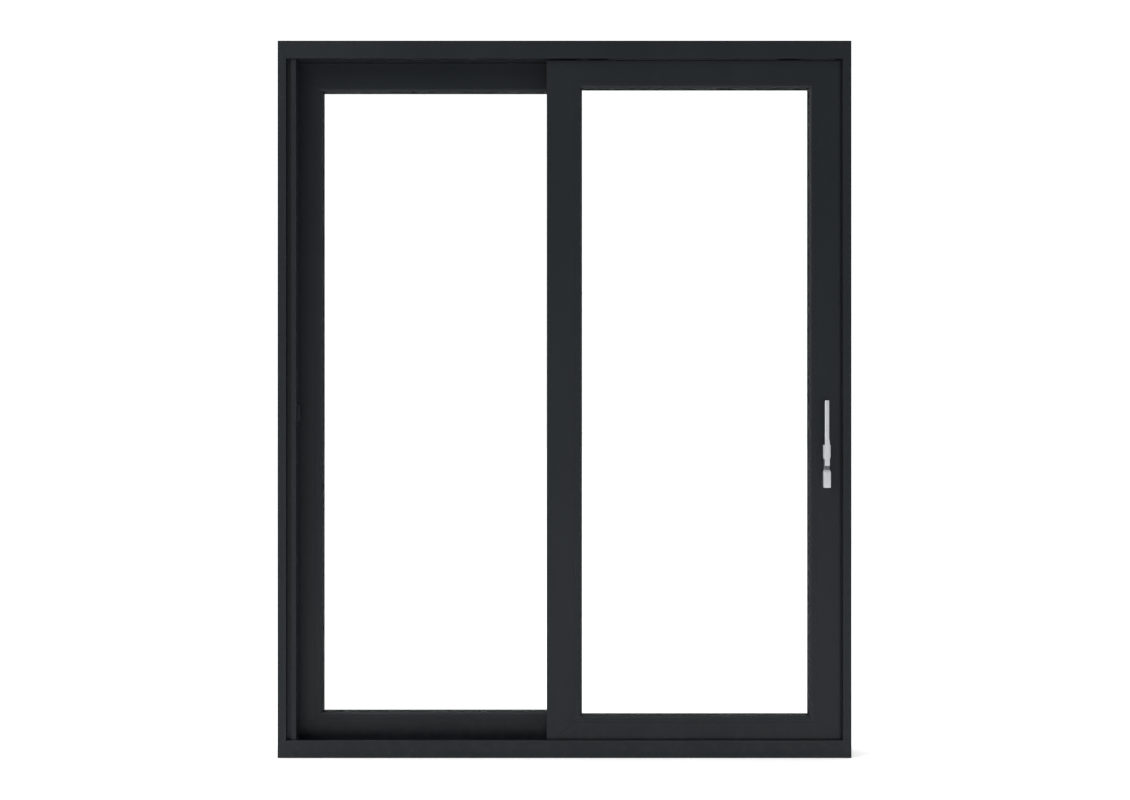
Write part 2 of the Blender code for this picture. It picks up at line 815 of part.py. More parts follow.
def build_lock_body(lock_stile):
    """The case inside the stile, its faceplate on the stile's edge, and the pin that the hook turns on."""
    edge = SASH_EDGES[1]
    low, high = LOCK_CASE_HEIGHTS
    front, back = LOCK_CASE_DEPTHS
    clearance = 0.0005
    cut(
        lock_stile,
        block(
            (edge - 0.005, front - clearance, low - clearance),
            (edge + REACH, back + clearance, high + clearance),
        ),
    )
    case_left, case_right = 0.7445, edge - GAP
    case = add_object("lock_case", block((case_left, front, low), (case_right, back, high)), "bare steel")
    wall = 0.0015
    cut(
        case,
        block((case_left + wall, front + wall, low + wall), (case_right + REACH, back - wall, high - wall)),
    )
    cut(case, rod((SPINDLE_X, SPINDLE_Z), SPINDLE_HOLE, front - REACH, front + 0.005))
    pin_radius = 0.0025
    cut(case, rod((HOOK_X, HOOK_Z), pin_radius + GAP, front - REACH, back + REACH))
    pin = rod((HOOK_X, HOOK_Z), pin_radius, front + GAP, back - GAP, 20)
    add_object("hook_pin", pin, "bare steel", smooth_angle=40)

    plate_left = edge + GAP
    faceplate = add_object(
        "lock_faceplate",
        block(
            (plate_left, TRACK_Y - 0.011, low - 0.018),
            (plate_left + 0.002, TRACK_Y + 0.011, high + 0.018),
        ),
        "bare steel",
    )
    cut(faceplate, lock_slot(plate_left - REACH, plate_left + REACH))


def build_hook():
    """The flat hook, drawn back in the case. It swings out about its pin through a quarter turn."""
    hub = 0.008
    neck = math.asin(HOOK_HALF / hub)
    bm = bmesh.new()
    steps = 18
    start, sweep = math.pi / 2 - neck, -(2 * math.pi - 2 * neck)
    outline = [
        (hub * math.cos(start + sweep * i / steps), hub * math.sin(start + sweep * i / steps))
        for i in range(steps + 1)
    ]
    outline += [
        (-HOOK_HALF, HOOK_REACH - 0.004),
        (-HOOK_HALF + 0.004, HOOK_REACH),
        (NOSE_DROP, HOOK_REACH),
        (NOSE_DROP, HOOK_REACH - NOSE_LENGTH),
        (HOOK_HALF, HOOK_REACH - NOSE_LENGTH),
    ]
    half = HOOK_THICKNESS / 2
    rings = [
        [bm.verts.new((HOOK_X + x, y, HOOK_Z + z)) for x, z in outline]
        for y in (TRACK_Y - half, TRACK_Y + half)
    ]
    bridge(bm, rings)
    hook = add_object("lock_hook", bm, "bare steel", origin=(HOOK_X, TRACK_Y, HOOK_Z))
    cut(hook, rod((HOOK_X, HOOK_Z), 0.0025 + GAP, TRACK_Y - REACH, TRACK_Y + REACH, 20))


def square_bar(half, y_from, y_to):
    """A bmesh square bar along Y on the spindle's line."""
    return block(
        (SPINDLE_X - half, y_from, SPINDLE_Z - half), (SPINDLE_X + half, y_to, SPINDLE_Z + half)
    )


def build_pull(lock_stile):
    """The cup let into the outside of the lock stile, to slide the sash from outside."""
    back = SASH_FRONT + PANEL_THICKNESS
    half_width, low, high, depth, wall = 0.016, 0.830, 0.950, 0.0105, 0.0015
    cut(
        lock_stile,
        block(
            (SPINDLE_X - half_width - GAP, back - 0.004, low - GAP),
            (SPINDLE_X + half_width + GAP, back + REACH, high + GAP),
        ),
    )
    cup = add_object(
        "exterior_pull",
        block((SPINDLE_X - half_width, back - depth, low), (SPINDLE_X + half_width, back + 0.001, high)),
        "satin silver",
    )
    rim = 0.004
    weld_on(
        cup,
        block(
            (SPINDLE_X - half_width - rim, back + GAP, low - rim),
            (SPINDLE_X + half_width + rim, back + GAP + 0.0015, high + rim),
        ),
    )
    inside = half_width - wall
    cut(
        cup,
        block(
            (SPINDLE_X - inside, back - depth + wall, low + wall),
            (SPINDLE_X + inside, back + REACH, high - wall),
        ),
    )


# ---------------------------------------------------------------- the handle


def rounded_section(x, half_width, y_back, y_front, back_radius, front_radius, steps=3):
    """Points around a rectangle in plan, whose front corners and back corners are rounded."""
    corners = (
        (x + half_width, y_back, back_radius, 90),
        (x - half_width, y_back, back_radius, 180),
        (x - half_width, y_front, front_radius, 270),
        (x + half_width, y_front, front_radius, 360),
    )
    points = []
    for corner_x, corner_y, radius, end_degrees in corners:
        centre_x = corner_x - math.copysign(radius, corner_x - x)
        centre_y = corner_y + (radius if corner_y == y_front else -radius)
        for i in range(steps + 1):
            angle = math.radians(end_degrees - 90 + 90 * i / steps)
            points.append((centre_x + radius * math.cos(angle), centre_y + radius * math.sin(angle)))
    return points


def loft(stations):
    """A bmesh body through a stack of (z, points) sections, each with the same number of points."""
    bm = bmesh.new()
    bridge(bm, [[bm.verts.new((x, y, z)) for x, y in points] for z, points in stations])
    return bm


def build_handle_base(lock_stile):
    """The plate on the stile: a low block at the foot, a waist, and a pad that the lever turns on."""
    back = SASH_FRONT - GAP
    half = 0.0104
    # height, half width, how far it stands off the stile
    shape = (
        (0.7910, half - 0.0016, 0.0170),
        (0.7916, half - 0.0006, 0.0185),
        (0.7930, half, 0.0194),
        (0.8366, half, 0.0200),
        (0.8380, half - 0.0006, 0.0190),
        (0.8435, half - 0.0016, 0.0120),
        (0.8490, half - 0.0019, 0.0090),
        (0.8715, half - 0.0019, 0.0080),
        (0.8745, half - 0.0014, 0.0092),
        (0.8800, half - 0.0002, 0.0125),
        (0.8820, half, 0.0132),
        (0.9145, half, 0.0140),
        (0.9160, half - 0.0006, 0.0135),
        (0.9170, half - 0.0018, 0.0120),
    )
    stations = [
        (z, rounded_section(SPINDLE_X, width, back, back - depth, 0.0004, 0.0016))
        for z, width, depth in shape
    ]
    base = add_object("handle_base", loft(stations), "satin silver", smooth_angle=35)
    hole = (SPINDLE_X, SPINDLE_Z)
    cut(base, rod(hole, SPINDLE_HOLE - 0.0008, back - 0.030, back + REACH))
    cut(lock_stile, rod(hole, SPINDLE_HOLE, SASH_FRONT - REACH, SASH_FRONT + 0.004))


def build_lever():
    """The lever, standing upright, with the neck that it turns on, its spindle and the lock's follower."""
    front = LEVER_BACK - LEVER_THICKNESS
    # height, middle from the spindle's axis, half width, how far the front is set back
    shape = (
        (0.8560, -0.0022, 0.0056, 0.0014),
        (0.8566, -0.0022, 0.0064, 0.0006),
        (0.8580, -0.0022, 0.0070, 0.0000),
        (0.9230, -0.0022, 0.0070, 0.0000),
        (0.9300, -0.0026, 0.0066, 0.0000),
        (0.9360, -0.0030, 0.0062, 0.0000),
        (1.0450, -0.0031, 0.0061, 0.0000),
        (1.0464, -0.0031, 0.0056, 0.0006),
        (1.0470, -0.0031, 0.0047, 0.0014),
    )
    stations = [
        (z, rounded_section(SPINDLE_X + shift, width, LEVER_BACK - inset, front + inset, 0.0020, 0.0024))
        for z, shift, width, inset in shape
    ]
    axis = (SPINDLE_X, front, SPINDLE_Z)
    lever = add_object("handle_lever", loft(stations), "satin silver", origin=axis, smooth_angle=35)
    pad_front = SASH_FRONT - GAP - 0.0140
    centre = (SPINDLE_X, SPINDLE_Z)
    weld_on(lever, rod(centre, NECK_RADIUS, LEVER_BACK - 0.003, pad_front - GAP, 28))
    half = SPINDLE_SIDE / 2
    socket_end = LEVER_BACK + 0.003
    cut(lever, square_bar(half + GAP, socket_end, pad_front + REACH))

    spindle_end = -0.032
    add_object(
        "lever_spindle",
        square_bar(half, socket_end + GAP, spindle_end),
        "bare steel",
        origin=(SPINDLE_X, spindle_end, SPINDLE_Z),
    )
    follower = add_object(
        "lock_follower",
        rod(centre, 0.0105, TRACK_Y - 0.003, TRACK_Y + 0.003, 28),
        "bare steel",
        origin=(SPINDLE_X, TRACK_Y, SPINDLE_Z),
        smooth_angle=40,
    )
    cut(follower, square_bar(half + GAP, TRACK_Y - REACH, TRACK_Y + REACH))


def main():
    clear_scene()
    build_frame()
    build_track()
    build_stops()
    build_keeper()
    build_panel(
        "fixed",
        FIXED_FRONT,
        FIXED_EDGES,
        FIXED_SIGHT,
        (SILL_PLATFORM + GAP, FRAME_HEIGHT - RAIL_FACE - GAP),
        {"left": "jamb_stile", "right": "meeting_stile"},
        grooved=False,
    )
    sash = build_panel(
        "sash",
        SASH_FRONT,
        SASH_EDGES,
        SASH_SIGHT,
        (SASH_FOOT, SASH_TOP),
        {"left": "meeting_stile", "right": "lock_stile"},
        grooved=True,
    )
    build_interlocks()
    for side, x in ROLLER_X.items():
        build_roller(side, x)
        build_top_guide(side, x)
    lock_stile = sash["right"]
    build_lock_body(lock_stile)
    build_hook()
    build_pull(lock_stile)
    build_handle_base(lock_stile)
    build_lever()


main()
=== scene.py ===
"""A two-panel sliding patio door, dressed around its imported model.

+X is to the right and +Z is up, as seen from the room, and the room is on the -Y side. Lengths are in metres.
"""

import json
import logging
import math
import random
from collections.abc import Callable, Sequence
from dataclasses import dataclass
from enum import Enum

import bmesh
import bpy
from mathutils import Matrix, Vector


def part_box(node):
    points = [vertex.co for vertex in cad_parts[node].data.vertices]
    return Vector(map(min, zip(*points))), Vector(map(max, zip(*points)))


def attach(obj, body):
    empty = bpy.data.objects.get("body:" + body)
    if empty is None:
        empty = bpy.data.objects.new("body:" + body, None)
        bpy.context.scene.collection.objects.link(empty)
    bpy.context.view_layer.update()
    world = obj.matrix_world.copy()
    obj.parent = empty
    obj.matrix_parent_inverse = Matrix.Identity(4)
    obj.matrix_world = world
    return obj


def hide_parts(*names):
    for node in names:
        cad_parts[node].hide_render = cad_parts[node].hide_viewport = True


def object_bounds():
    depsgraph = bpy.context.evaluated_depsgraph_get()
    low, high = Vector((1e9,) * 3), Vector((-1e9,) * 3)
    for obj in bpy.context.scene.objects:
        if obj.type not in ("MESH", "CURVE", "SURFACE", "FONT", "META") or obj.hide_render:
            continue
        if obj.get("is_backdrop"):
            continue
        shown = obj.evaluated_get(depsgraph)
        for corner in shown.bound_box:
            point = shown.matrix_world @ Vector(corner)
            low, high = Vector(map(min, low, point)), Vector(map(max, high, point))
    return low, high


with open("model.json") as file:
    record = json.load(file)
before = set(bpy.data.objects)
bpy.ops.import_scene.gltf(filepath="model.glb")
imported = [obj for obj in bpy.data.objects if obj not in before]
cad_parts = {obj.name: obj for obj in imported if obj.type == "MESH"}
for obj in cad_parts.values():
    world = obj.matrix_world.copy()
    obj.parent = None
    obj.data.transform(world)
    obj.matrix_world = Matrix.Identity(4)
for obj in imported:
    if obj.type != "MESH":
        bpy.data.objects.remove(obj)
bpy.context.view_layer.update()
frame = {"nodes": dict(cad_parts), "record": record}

LOG = logging.getLogger("patio_door")
TURN = 2 * math.pi

Colour = tuple[float, float, float]
Point = tuple[float, float, float]
Flat = tuple[float, float]


class Body(Enum):
    """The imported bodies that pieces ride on."""

    FRAME = "frame"
    SASH = "sash"
    LEVER = "lever"
    HOOK = "hook"
    WHEEL_LEFT = "wheel_left"
    WHEEL_RIGHT = "wheel_right"


class Slot(Enum):
    """The record's material slots."""

    GRAPHITE = "graphite_coat"
    SILVER = "satin_silver"
    STEEL = "bare_steel"
    RUBBER = "black_rubber"
    NYLON = "black_nylon"
    ALUMINIUM = "mill_aluminium"
    GLASS = "clear_glass"


class Axis(Enum):
    """A direction that a grain or a screw follows. Its value is the index of the coordinate."""

    X = 0
    Y = 1
    Z = 2


# ---- shader maths


class Link:
    """An output socket, so that shader maths is written as Python maths."""

    def __init__(self, tree: "ShaderTree", socket: bpy.types.NodeSocket) -> None:
        """Wraps a socket.

        Args:
            tree: The tree that the socket belongs to.
            socket: The output socket.
        """
        self.tree = tree
        self.socket = socket

    def _maths(self, operation: str, first: "Link | float", second: "Link | float") -> "Link":
        """Adds one Math node and returns its output."""
        return self.tree.node("ShaderNodeMath", {"operation": operation}, {0: first, 1: second})

    def __add__(self, other: "Link | float") -> "Link":
        """The sum."""
        return self._maths("ADD", self, other)

    __radd__ = __add__

    def __rsub__(self, other: float) -> "Link":
        """The difference, with a number first."""
        return self._maths("SUBTRACT", other, self)

    def __mul__(self, other: "Link | float") -> "Link":
        """The product."""
        return self._maths("MULTIPLY", self, other)

    def ramp(self, low: float, high: float, start: float = 0.0, end: float = 1.0) -> "Link":
        """Goes smoothly from one level to another as this value goes from low to high.

        Args:
            low: The value that gives the first level.
            high: The value that gives the second level.
            start: The first level.
            end: The second level.

        Returns:
            The eased value.
        """
        inputs = {"Value": self, "From Min": low, "From Max": high, "To Min": start, "To Max": end}
        return self.tree.node("ShaderNodeMapRange", {"interpolation_type": "SMOOTHSTEP"}, inputs)


class ShaderTree:
    """The nodes that make a material or the sky."""

    def __init__(self, owner: bpy.types.Material | bpy.types.World) -> None:
        """Starts with no nodes.

        Args:
            owner: What the nodes belong to.
        """
        self.owner = owner
        owner.use_nodes = True
        self.nodes = owner.node_tree.nodes
        self.links = owner.node_tree.links
        self.nodes.clear()

    def node(
        self,
        kind: str,
        settings: dict[str, object] | None = None,
        inputs: dict[str | int, object] | None = None,
        output: str | int = 0,
    ) -> Link:
        """Adds a node.

        Args:
            kind: The node's type.
            settings: Its properties, set before its sockets are read.
            inputs: What goes into its sockets: a value or a Link for each socket's name or number.
            output: The output socket wanted.

        Returns:
            That output.
        """
        made = self.nodes.new(kind)
        for name, value in (settings or {}).items():
            setattr(made, name, value)
        for name, value in (inputs or {}).items():
            socket = made.inputs[name]
            if isinstance(value, Link):
                self.links.new(value.socket, socket)
            else:
                socket.default_value = (*value, 1.0) if socket.type == "RGBA" else value
        return Link(self, made.outputs[output])

    def place(self, stretch: Point = (1.0, 1.0, 1.0)) -> Link:
        """The point on the piece, in metres, which moves with it.

        Args:
            stretch: How much each coordinate is multiplied by.

        Returns:
            The stretched point.
        """
        point = self.node("ShaderNodeTexCoord", output="Object")
        if stretch == (1.0, 1.0, 1.0):
            return point
        return self.node("ShaderNodeVectorMath", {"operation": "MULTIPLY"}, {0: point, 1: stretch})

    def noise(self, scale: float, detail: float = 2.0, stretch: Point = (1.0, 1.0, 1.0)) -> Link:
        """Smooth noise between 0 and 1.

        Args:
            scale: Lumps per metre, about.
            detail: How many finer layers are added.
            stretch: How much each coordinate is multiplied by.

        Returns:
            The noise.
        """
        inputs = {"Vector": self.place(stretch), "Scale": scale, "Detail": detail}
        return self.node("ShaderNodeTexNoise", inputs=inputs)

    def height(self) -> Link:
        """The height on the door, in metres."""
        return self.node("ShaderNodeSeparateXYZ", inputs={0: self.place()}, output="Z")

    def colours(self, share: Link, first: Colour | Link, second: Colour) -> Link:
        """Mixes two colours.

        Args:
            share: How much of the second colour, from 0 to 1.
            first: The first colour.
            second: The second colour.

        Returns:
            The mixed colour.
        """
        settings = {"data_type": "RGBA"}
        return self.node("ShaderNodeMix", settings, {"Factor": share, 6: first, 7: second}, output=2)

    def bump(self, height: Link, depth: float, strength: float = 1.0) -> Link:
        """Turns a height into a normal.

        Args:
            height: The height, from 0 to 1.
            depth: How deep a height of 1 is, in metres.
            strength: How much of it shows.

        Returns:
            The normal.
        """
        return self.node("ShaderNodeBump", inputs={"Height": height, "Distance": depth, "Strength": strength})

    def surface(self, inputs: dict[str | int, object]) -> bpy.types.Material:
        """Ends the tree with a Principled shader.

        Args:
            inputs: What goes into the shader's sockets.

        Returns:
            The finished material.
        """
        return self.output(self.node("ShaderNodeBsdfPrincipled", inputs=inputs))

    def output(self, shader: Link, kind: str = "Material") -> bpy.types.Material | bpy.types.World:
        """Ends the tree with a shader of any kind.

        Args:
            shader: The shader.
            kind: "Material" or "World".

        Returns:
            What the nodes belong to.
        """
        end = self.nodes.new(f"ShaderNodeOutput{kind}")
        self.links.new(shader.socket, end.inputs["Surface"])
        return self.owner


# ---- finishes


@dataclass(frozen=True)
class PowderCoat:
    """Graphite powder coat on aluminium: a fine orange peel, faint cloudiness and a little dust low down."""

    name: str = "graphite_powder_coat"
    colour: Colour = (0.0080, 0.0108, 0.0135)
    light_colour: Colour = (0.0105, 0.0139, 0.0170)
    dust_colour: Colour = (0.026, 0.027, 0.027)
    roughness: float = 0.44
    gloss: float = 0.26
    peel_per_metre: float = 1400.0
    peel_depth: float = 0.00002
    clouds_per_metre: float = 5.0
    speckle_per_metre: float = 2600.0
    speckle_share: float = 0.3
    smears_per_metre: float = 7.0
    smear_stretch: Point = (1.0, 1.0, 0.25)
    dust_per_metre: float = 46.0
    dust_heights: Flat = (0.03, 0.20)
    most_dust: float = 0.40

    def make(self) -> bpy.types.Material:
        """Builds the material."""
        tree = ShaderTree(bpy.data.materials.new(self.name))
        peel = tree.noise(self.peel_per_metre, 1.0)
        clouds = tree.noise(self.clouds_per_metre, 4.0)
        speckle = tree.noise(self.speckle_per_metre, 0.0).ramp(0.62, 0.72)
        low = 1 - tree.height().ramp(*self.dust_heights)
        dust = low * tree.noise(self.dust_per_metre, 5.0).ramp(0.42, 0.80) * self.most_dust
        light = clouds * (1 - self.speckle_share) + speckle * self.speckle_share
        coat = tree.colours(light, self.colour, self.light_colour)
        smears = tree.noise(self.smears_per_metre, 3.0, self.smear_stretch).ramp(0.35, 0.75)
        return tree.surface(
            {
                "Base Color": tree.colours(dust, coat, self.dust_colour),
                "Roughness": self.roughness + smears * 0.07 + dust * 0.3,
                "Specular IOR Level": self.gloss,
                "Normal": tree.bump(peel, self.peel_depth, 0.6),
            }
        )


@dataclass(frozen=True)
class BrushedMetal:
    """Metal with a fine grain along one axis, and faint marks from hands or wear."""

    name: str
    colour: Colour
    dark_colour: Colour
    roughness: float
    grain: Axis = Axis.Z
    grain_per_metre: float = 2600.0
    grain_depth: float = 0.000006
    stretch: float = 0.02
    marks: float = 0.10
    marks_per_metre: float = 38.0
    scratches_per_metre: float = 420.0
    metallic: float = 1.0

    def make(self) -> bpy.types.Material:
        """Builds the material."""
        tree = ShaderTree(bpy.data.materials.new(self.name))
        along = tuple(self.stretch if i == self.grain.value else 1.0 for i in range(3))
        lines = tree.noise(self.grain_per_metre, 2.0, along)
        marks = tree.noise(self.marks_per_metre, 4.0).ramp(0.45, 0.72)
        fine = tree.noise(self.scratches_per_metre, 3.0).ramp(0.55, 0.80)
        return tree.surface(
            {
                "Base Color": tree.colours(lines * 0.6 + marks * 0.4, self.colour, self.dark_colour),
                "Metallic": self.metallic,
                "Roughness": self.roughness + lines * 0.06 + marks * self.marks + fine * 0.03,
                "Normal": tree.bump(lines, self.grain_depth, 0.5),
            }
        )


@dataclass(frozen=True)
class DullPolymer:
    """Black rubber, nylon or pile: a matt grain, with a pale bloom, scuffs or tips in patches."""

    name: str
    colour: Colour
    worn_colour: Colour
    roughness: float = 0.62
    rougher: float = 0.2
    gloss: float = 0.12
    patches_per_metre: float = 60.0
    patch_detail: float = 5.0
    patch_stretch: Point = (1.0, 1.0, 1.0)
    patch_range: Flat | None = (0.45, 0.85)
    grain_per_metre: float | None = 1800.0
    grain_depth: float = 0.00002
    grain_strength: float = 0.5

    def make(self) -> bpy.types.Material:
        """Builds the material."""
        tree = ShaderTree(bpy.data.materials.new(self.name))
        lumps = tree.noise(self.patches_per_metre, self.patch_detail, self.patch_stretch)
        patches = lumps.ramp(*self.patch_range) if self.patch_range else lumps
        grain = tree.noise(self.grain_per_metre, 1.0) if self.grain_per_metre else lumps
        return tree.surface(
            {
                "Base Color": tree.colours(patches, self.colour, self.worn_colour),
                "Roughness": self.roughness + patches * self.rougher,
                "Specular IOR Level": self.gloss,
                "Normal": tree.bump(grain, self.grain_depth, self.grain_strength),
            }
        )


@dataclass(frozen=True)
class FloatGlass:
    """Clear float glass with a breath of green, which lets lamps shine through."""

    name: str = "float_glass"
    colour: Colour = (0.985, 0.998, 0.992)
    deep_colour: Colour = (0.975, 0.994, 0.986)
    lamp_colour: Colour = (0.97, 0.985, 0.978)
    ior: float = 1.45
    tints_per_metre: float = 1.6

    def make(self) -> bpy.types.Material:
        """Builds the material."""
        tree = ShaderTree(bpy.data.materials.new(self.name))
        tint = tree.noise(self.tints_per_metre, 1.0)
        glass = tree.node(
            "ShaderNodeBsdfPrincipled",
            inputs={
                "Base Color": tree.colours(tint, self.colour, self.deep_colour),
                "Roughness": 0.0,
                "IOR": self.ior,
                "Transmission Weight": 1.0,
            },
        )
        clear = tree.node("ShaderNodeBsdfTransparent", inputs={"Color": self.lamp_colour})
        lamp_ray = tree.node("ShaderNodeLightPath", output="Is Shadow Ray")
        return tree.output(tree.node("ShaderNodeMixShader", inputs={0: lamp_ray, 1: glass, 2: clear}))


@dataclass(frozen=True)
class StudioFloor:
    """A pale matt floor that stays bright under a white sky."""

    name: str = "studio_floor"
    colour: Colour = (0.90, 0.90, 0.90)
    far_colour: Colour = (0.92, 0.92, 0.92)
    glow: float = 0.30
    roughness: float = 0.9
    clouds_per_metre: float = 3.0

    def make(self) -> bpy.types.Material:
        """Builds the material."""
        tree = ShaderTree(bpy.data.materials.new(self.name))
        clouds = tree.noise(self.clouds_per_metre, 3.0)
        return tree.surface(
            {
                "Base Color": tree.colours(clouds, self.colour, self.far_colour),
                "Roughness": self.roughness,
                "Specular IOR Level": 0.0,
                "Emission Color": (1.0, 1.0, 1.0),
                "Emission Strength": self.glow,
            }
        )


class Finishes:
    """Every finish of the door, each made once."""

    def __init__(self) -> None:
        """Makes the materials."""
        self.graphite = PowderCoat().make()
        self.silver = BrushedMetal(
            "satin_silver", (0.60, 0.62, 0.635), (0.52, 0.54, 0.555), 0.42, metallic=0.35
        ).make()
        # A darker copy of the satin silver for the base's waist: painted shade, standing in for the shade
        # under the lever's hub.
        self.painted_shade_silver = BrushedMetal(
            "satin_silver_painted_shade", (0.16, 0.17, 0.175), (0.11, 0.12, 0.125), 0.50, metallic=0.35
        ).make()
        self.steel = BrushedMetal(
            "bare_steel", (0.50, 0.50, 0.49), (0.38, 0.38, 0.37), 0.26, Axis.X, 2200.0, marks=0.16
        ).make()
        self.rail_steel = BrushedMetal(
            "rail_steel", (0.58, 0.58, 0.57), (0.44, 0.44, 0.43), 0.20, Axis.X, 5200.0, stretch=0.005
        ).make()
        self.aluminium = BrushedMetal(
            "mill_aluminium", (0.66, 0.67, 0.68), (0.54, 0.55, 0.56), 0.34, Axis.Z, 1500.0, stretch=0.004
        ).make()
        self.rubber = DullPolymer("seal_rubber", (0.0012, 0.0012, 0.0012), (0.0050, 0.0050, 0.0048)).make()
        self.grey_rubber = DullPolymer("grey_rubber", (0.018, 0.021, 0.023), (0.026, 0.029, 0.031)).make()
        self.nylon = DullPolymer(
            "moulded_nylon",
            (0.012, 0.012, 0.013),
            (0.055, 0.055, 0.056),
            roughness=0.42,
            rougher=0.25,
            gloss=0.35,
            patches_per_metre=220.0,
            patch_detail=4.0,
            patch_stretch=(0.1, 1.0, 1.0),
            patch_range=(0.58, 0.80),
            grain_per_metre=2400.0,
            grain_strength=0.4,
        ).make()
        self.glass = FloatGlass().make()
        self.pile = DullPolymer(
            "pile_fibre",
            (0.006, 0.006, 0.007),
            (0.022, 0.022, 0.023),
            roughness=0.75,
            gloss=0.15,
            patches_per_metre=3000.0,
            patch_detail=1.0,
            patch_stretch=(1.0, 0.15, 1.0),
            patch_range=None,
            grain_per_metre=None,
            grain_depth=0.0002,
            grain_strength=0.8,
        ).make()
        self.floor = StudioFloor().make()
        self.by_slot = {
            Slot.GRAPHITE: self.graphite,
            Slot.SILVER: self.silver,
            Slot.STEEL: self.steel,
            Slot.RUBBER: self.rubber,
            Slot.NYLON: self.nylon,
            Slot.ALUMINIUM: self.aluminium,
            Slot.GLASS: self.glass,
        }


def dress(node: str, material: bpy.types.Material) -> None:
    """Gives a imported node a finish.

    Args:
        node: The node's name.
        material: The finish.
    """
    for material_slot in frame["nodes"][node].material_slots:
        material_slot.material = material


# ---- meshes


class Draft:
    """A mesh in the making."""

    def __init__(self) -> None:
        """Starts an empty mesh."""
        self.bm = bmesh.new()

    def skin(self, rings: Sequence[Sequence[Point]], loop: bool = False, caps: bool = True) -> "Draft":
        """Lays faces between rings of points, each of the same count.

        Args:
            rings: The rings, in order.
            loop: Whether the last ring joins the first.
            caps: Whether the end rings are closed with a face.

        Returns:
            This draft.
        """
        made = [[self.bm.verts.new(point) for point in points] for points in rings]
        pairs = list(zip(made, made[1:])) + ([(made[-1], made[0])] if loop else [])
        for near, far in pairs:
            for i, vert in enumerate(near):
                j = (i + 1) % len(near)
                self.bm.faces.new((vert, near[j], far[j], far[i]))
        if caps and not loop:
            self.bm.faces.new(list(reversed(made[0])))
            self.bm.faces.new(made[-1])
        return self

    def finish(self, name: str, sharp_degrees: float = 40.0) -> bpy.types.Object:
        """Turns the draft into an object.

        Args:
            name: The object's name.
            sharp_degrees: Edges that turn more than this stay sharp.

        Returns:
            The object, in the scene.
        """
        bmesh.ops.recalc_face_normals(self.bm, faces=self.bm.faces)
        mesh = bpy.data.meshes.new(name)
        self.bm.to_mesh(mesh)
        self.bm.free()
        mesh.shade_smooth()
        mesh.set_sharp_from_angle(angle=math.radians(sharp_degrees))
        made = bpy.data.objects.new(name, mesh)
        bpy.context.scene.collection.objects.link(made)
        return made


def add_piece(
    name: str,
    draft: Draft,
    material: bpy.types.Material,
    body: Body,
    stands_for: Sequence[str] = (),
    sharp_degrees: float = 40.0,
) -> bpy.types.Object:
    """Finishes a draft and hands it to its body.

    Args:
        name: The piece's name.
        draft: Its mesh.
        material: Its finish.
        body: The body that it rides on.
        stands_for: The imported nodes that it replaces.
        sharp_degrees: Edges that turn more than this stay sharp.

    Returns:
        The piece.
    """
    piece = draft.finish(name, sharp_degrees)
    piece.data.materials.append(material)
    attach(piece, body.value)
    if stands_for:
        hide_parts(*stands_for)
    LOG.info("%s: %d faces on %s", name, len(piece.data.polygons), body.value)
    return piece


def squared(share: float, power: float) -> float:
    """A sine or cosine pushed outwards, which squares up the curve that it draws.

    Args:
        share: The sine or cosine.
        power: 2 leaves it alone, and larger numbers push harder.

    Returns:
        The pushed value.
    """
    return math.copysign(abs(share) ** (2 / power), share)


def rounded_box(half_width: float, half_depth: float, power: float, count: int) -> list[Flat]:
    """Points around a box with soft corners.

    Args:
        half_width: Half its size along the first axis.
        half_depth: Half its size along the second axis.
        power: 2 gives an ellipse, and larger numbers square it up.
        count: How many points.

    Returns:
        The points, anticlockwise.
    """
    angles = [TURN * i / count for i in range(count)]
    return [
        (half_width * squared(math.cos(a), power), half_depth * squared(math.sin(a), power)) for a in angles
    ]


def turned(profile: Sequence[Flat], centre: Vector, axis: Axis, count: int = 48) -> list[list[Point]]:
    """Rings for a body turned about a line.

    Args:
        profile: (radius, distance along the line) points.
        centre: A point on the line, from which the distances count.
        axis: The line's direction.
        count: Points in each ring.

    Returns:
        One ring for each profile point.
    """
    return [
        [around(centre, axis, radius, TURN * i / count, along) for i in range(count)]
        for radius, along in profile
    ]


def around(centre: Vector, axis: Axis, radius: float, angle: float, along: float) -> Point:
    """A point at an angle about a line.

    Args:
        centre: A point on the line.
        axis: The line's direction.
        radius: How far from the line.
        angle: The angle about it.
        along: How far along it from the centre.

    Returns:
        The point.
    """
    point = list(centre)
    first, second = [i for i in range(3) if i != axis.value]
    point[first] += radius * math.cos(angle)
    point[second] += radius * math.sin(angle)
    point[axis.value] += along
    return tuple(point)


def picture_frame(section: Sequence[Flat], outer: tuple[Vector, Vector]) -> list[list[Point]]:
    """Rings for a bar mitred around a rectangle that faces along Y.

    Args:
        section: (distance inwards, y) points around the bar.
        outer: The rectangle's lowest and highest corners, where the distance inwards is 0.

    Returns:
        One ring for each corner, to be joined in a loop.
    """
    low, high = outer
    corners = ((low.x, low.z, 1, 1), (high.x, low.z, -1, 1), (high.x, high.z, -1, -1), (low.x, high.z, 1, -1))
    return [
        [(x + sign_x * inwards, y, z + sign_z * inwards) for inwards, y in section]
        for x, z, sign_x, sign_z in corners
    ]


def middle(node: str) -> Vector:
    """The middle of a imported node's box."""
    low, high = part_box(node)
    return (low + high) / 2


# ---- fasteners


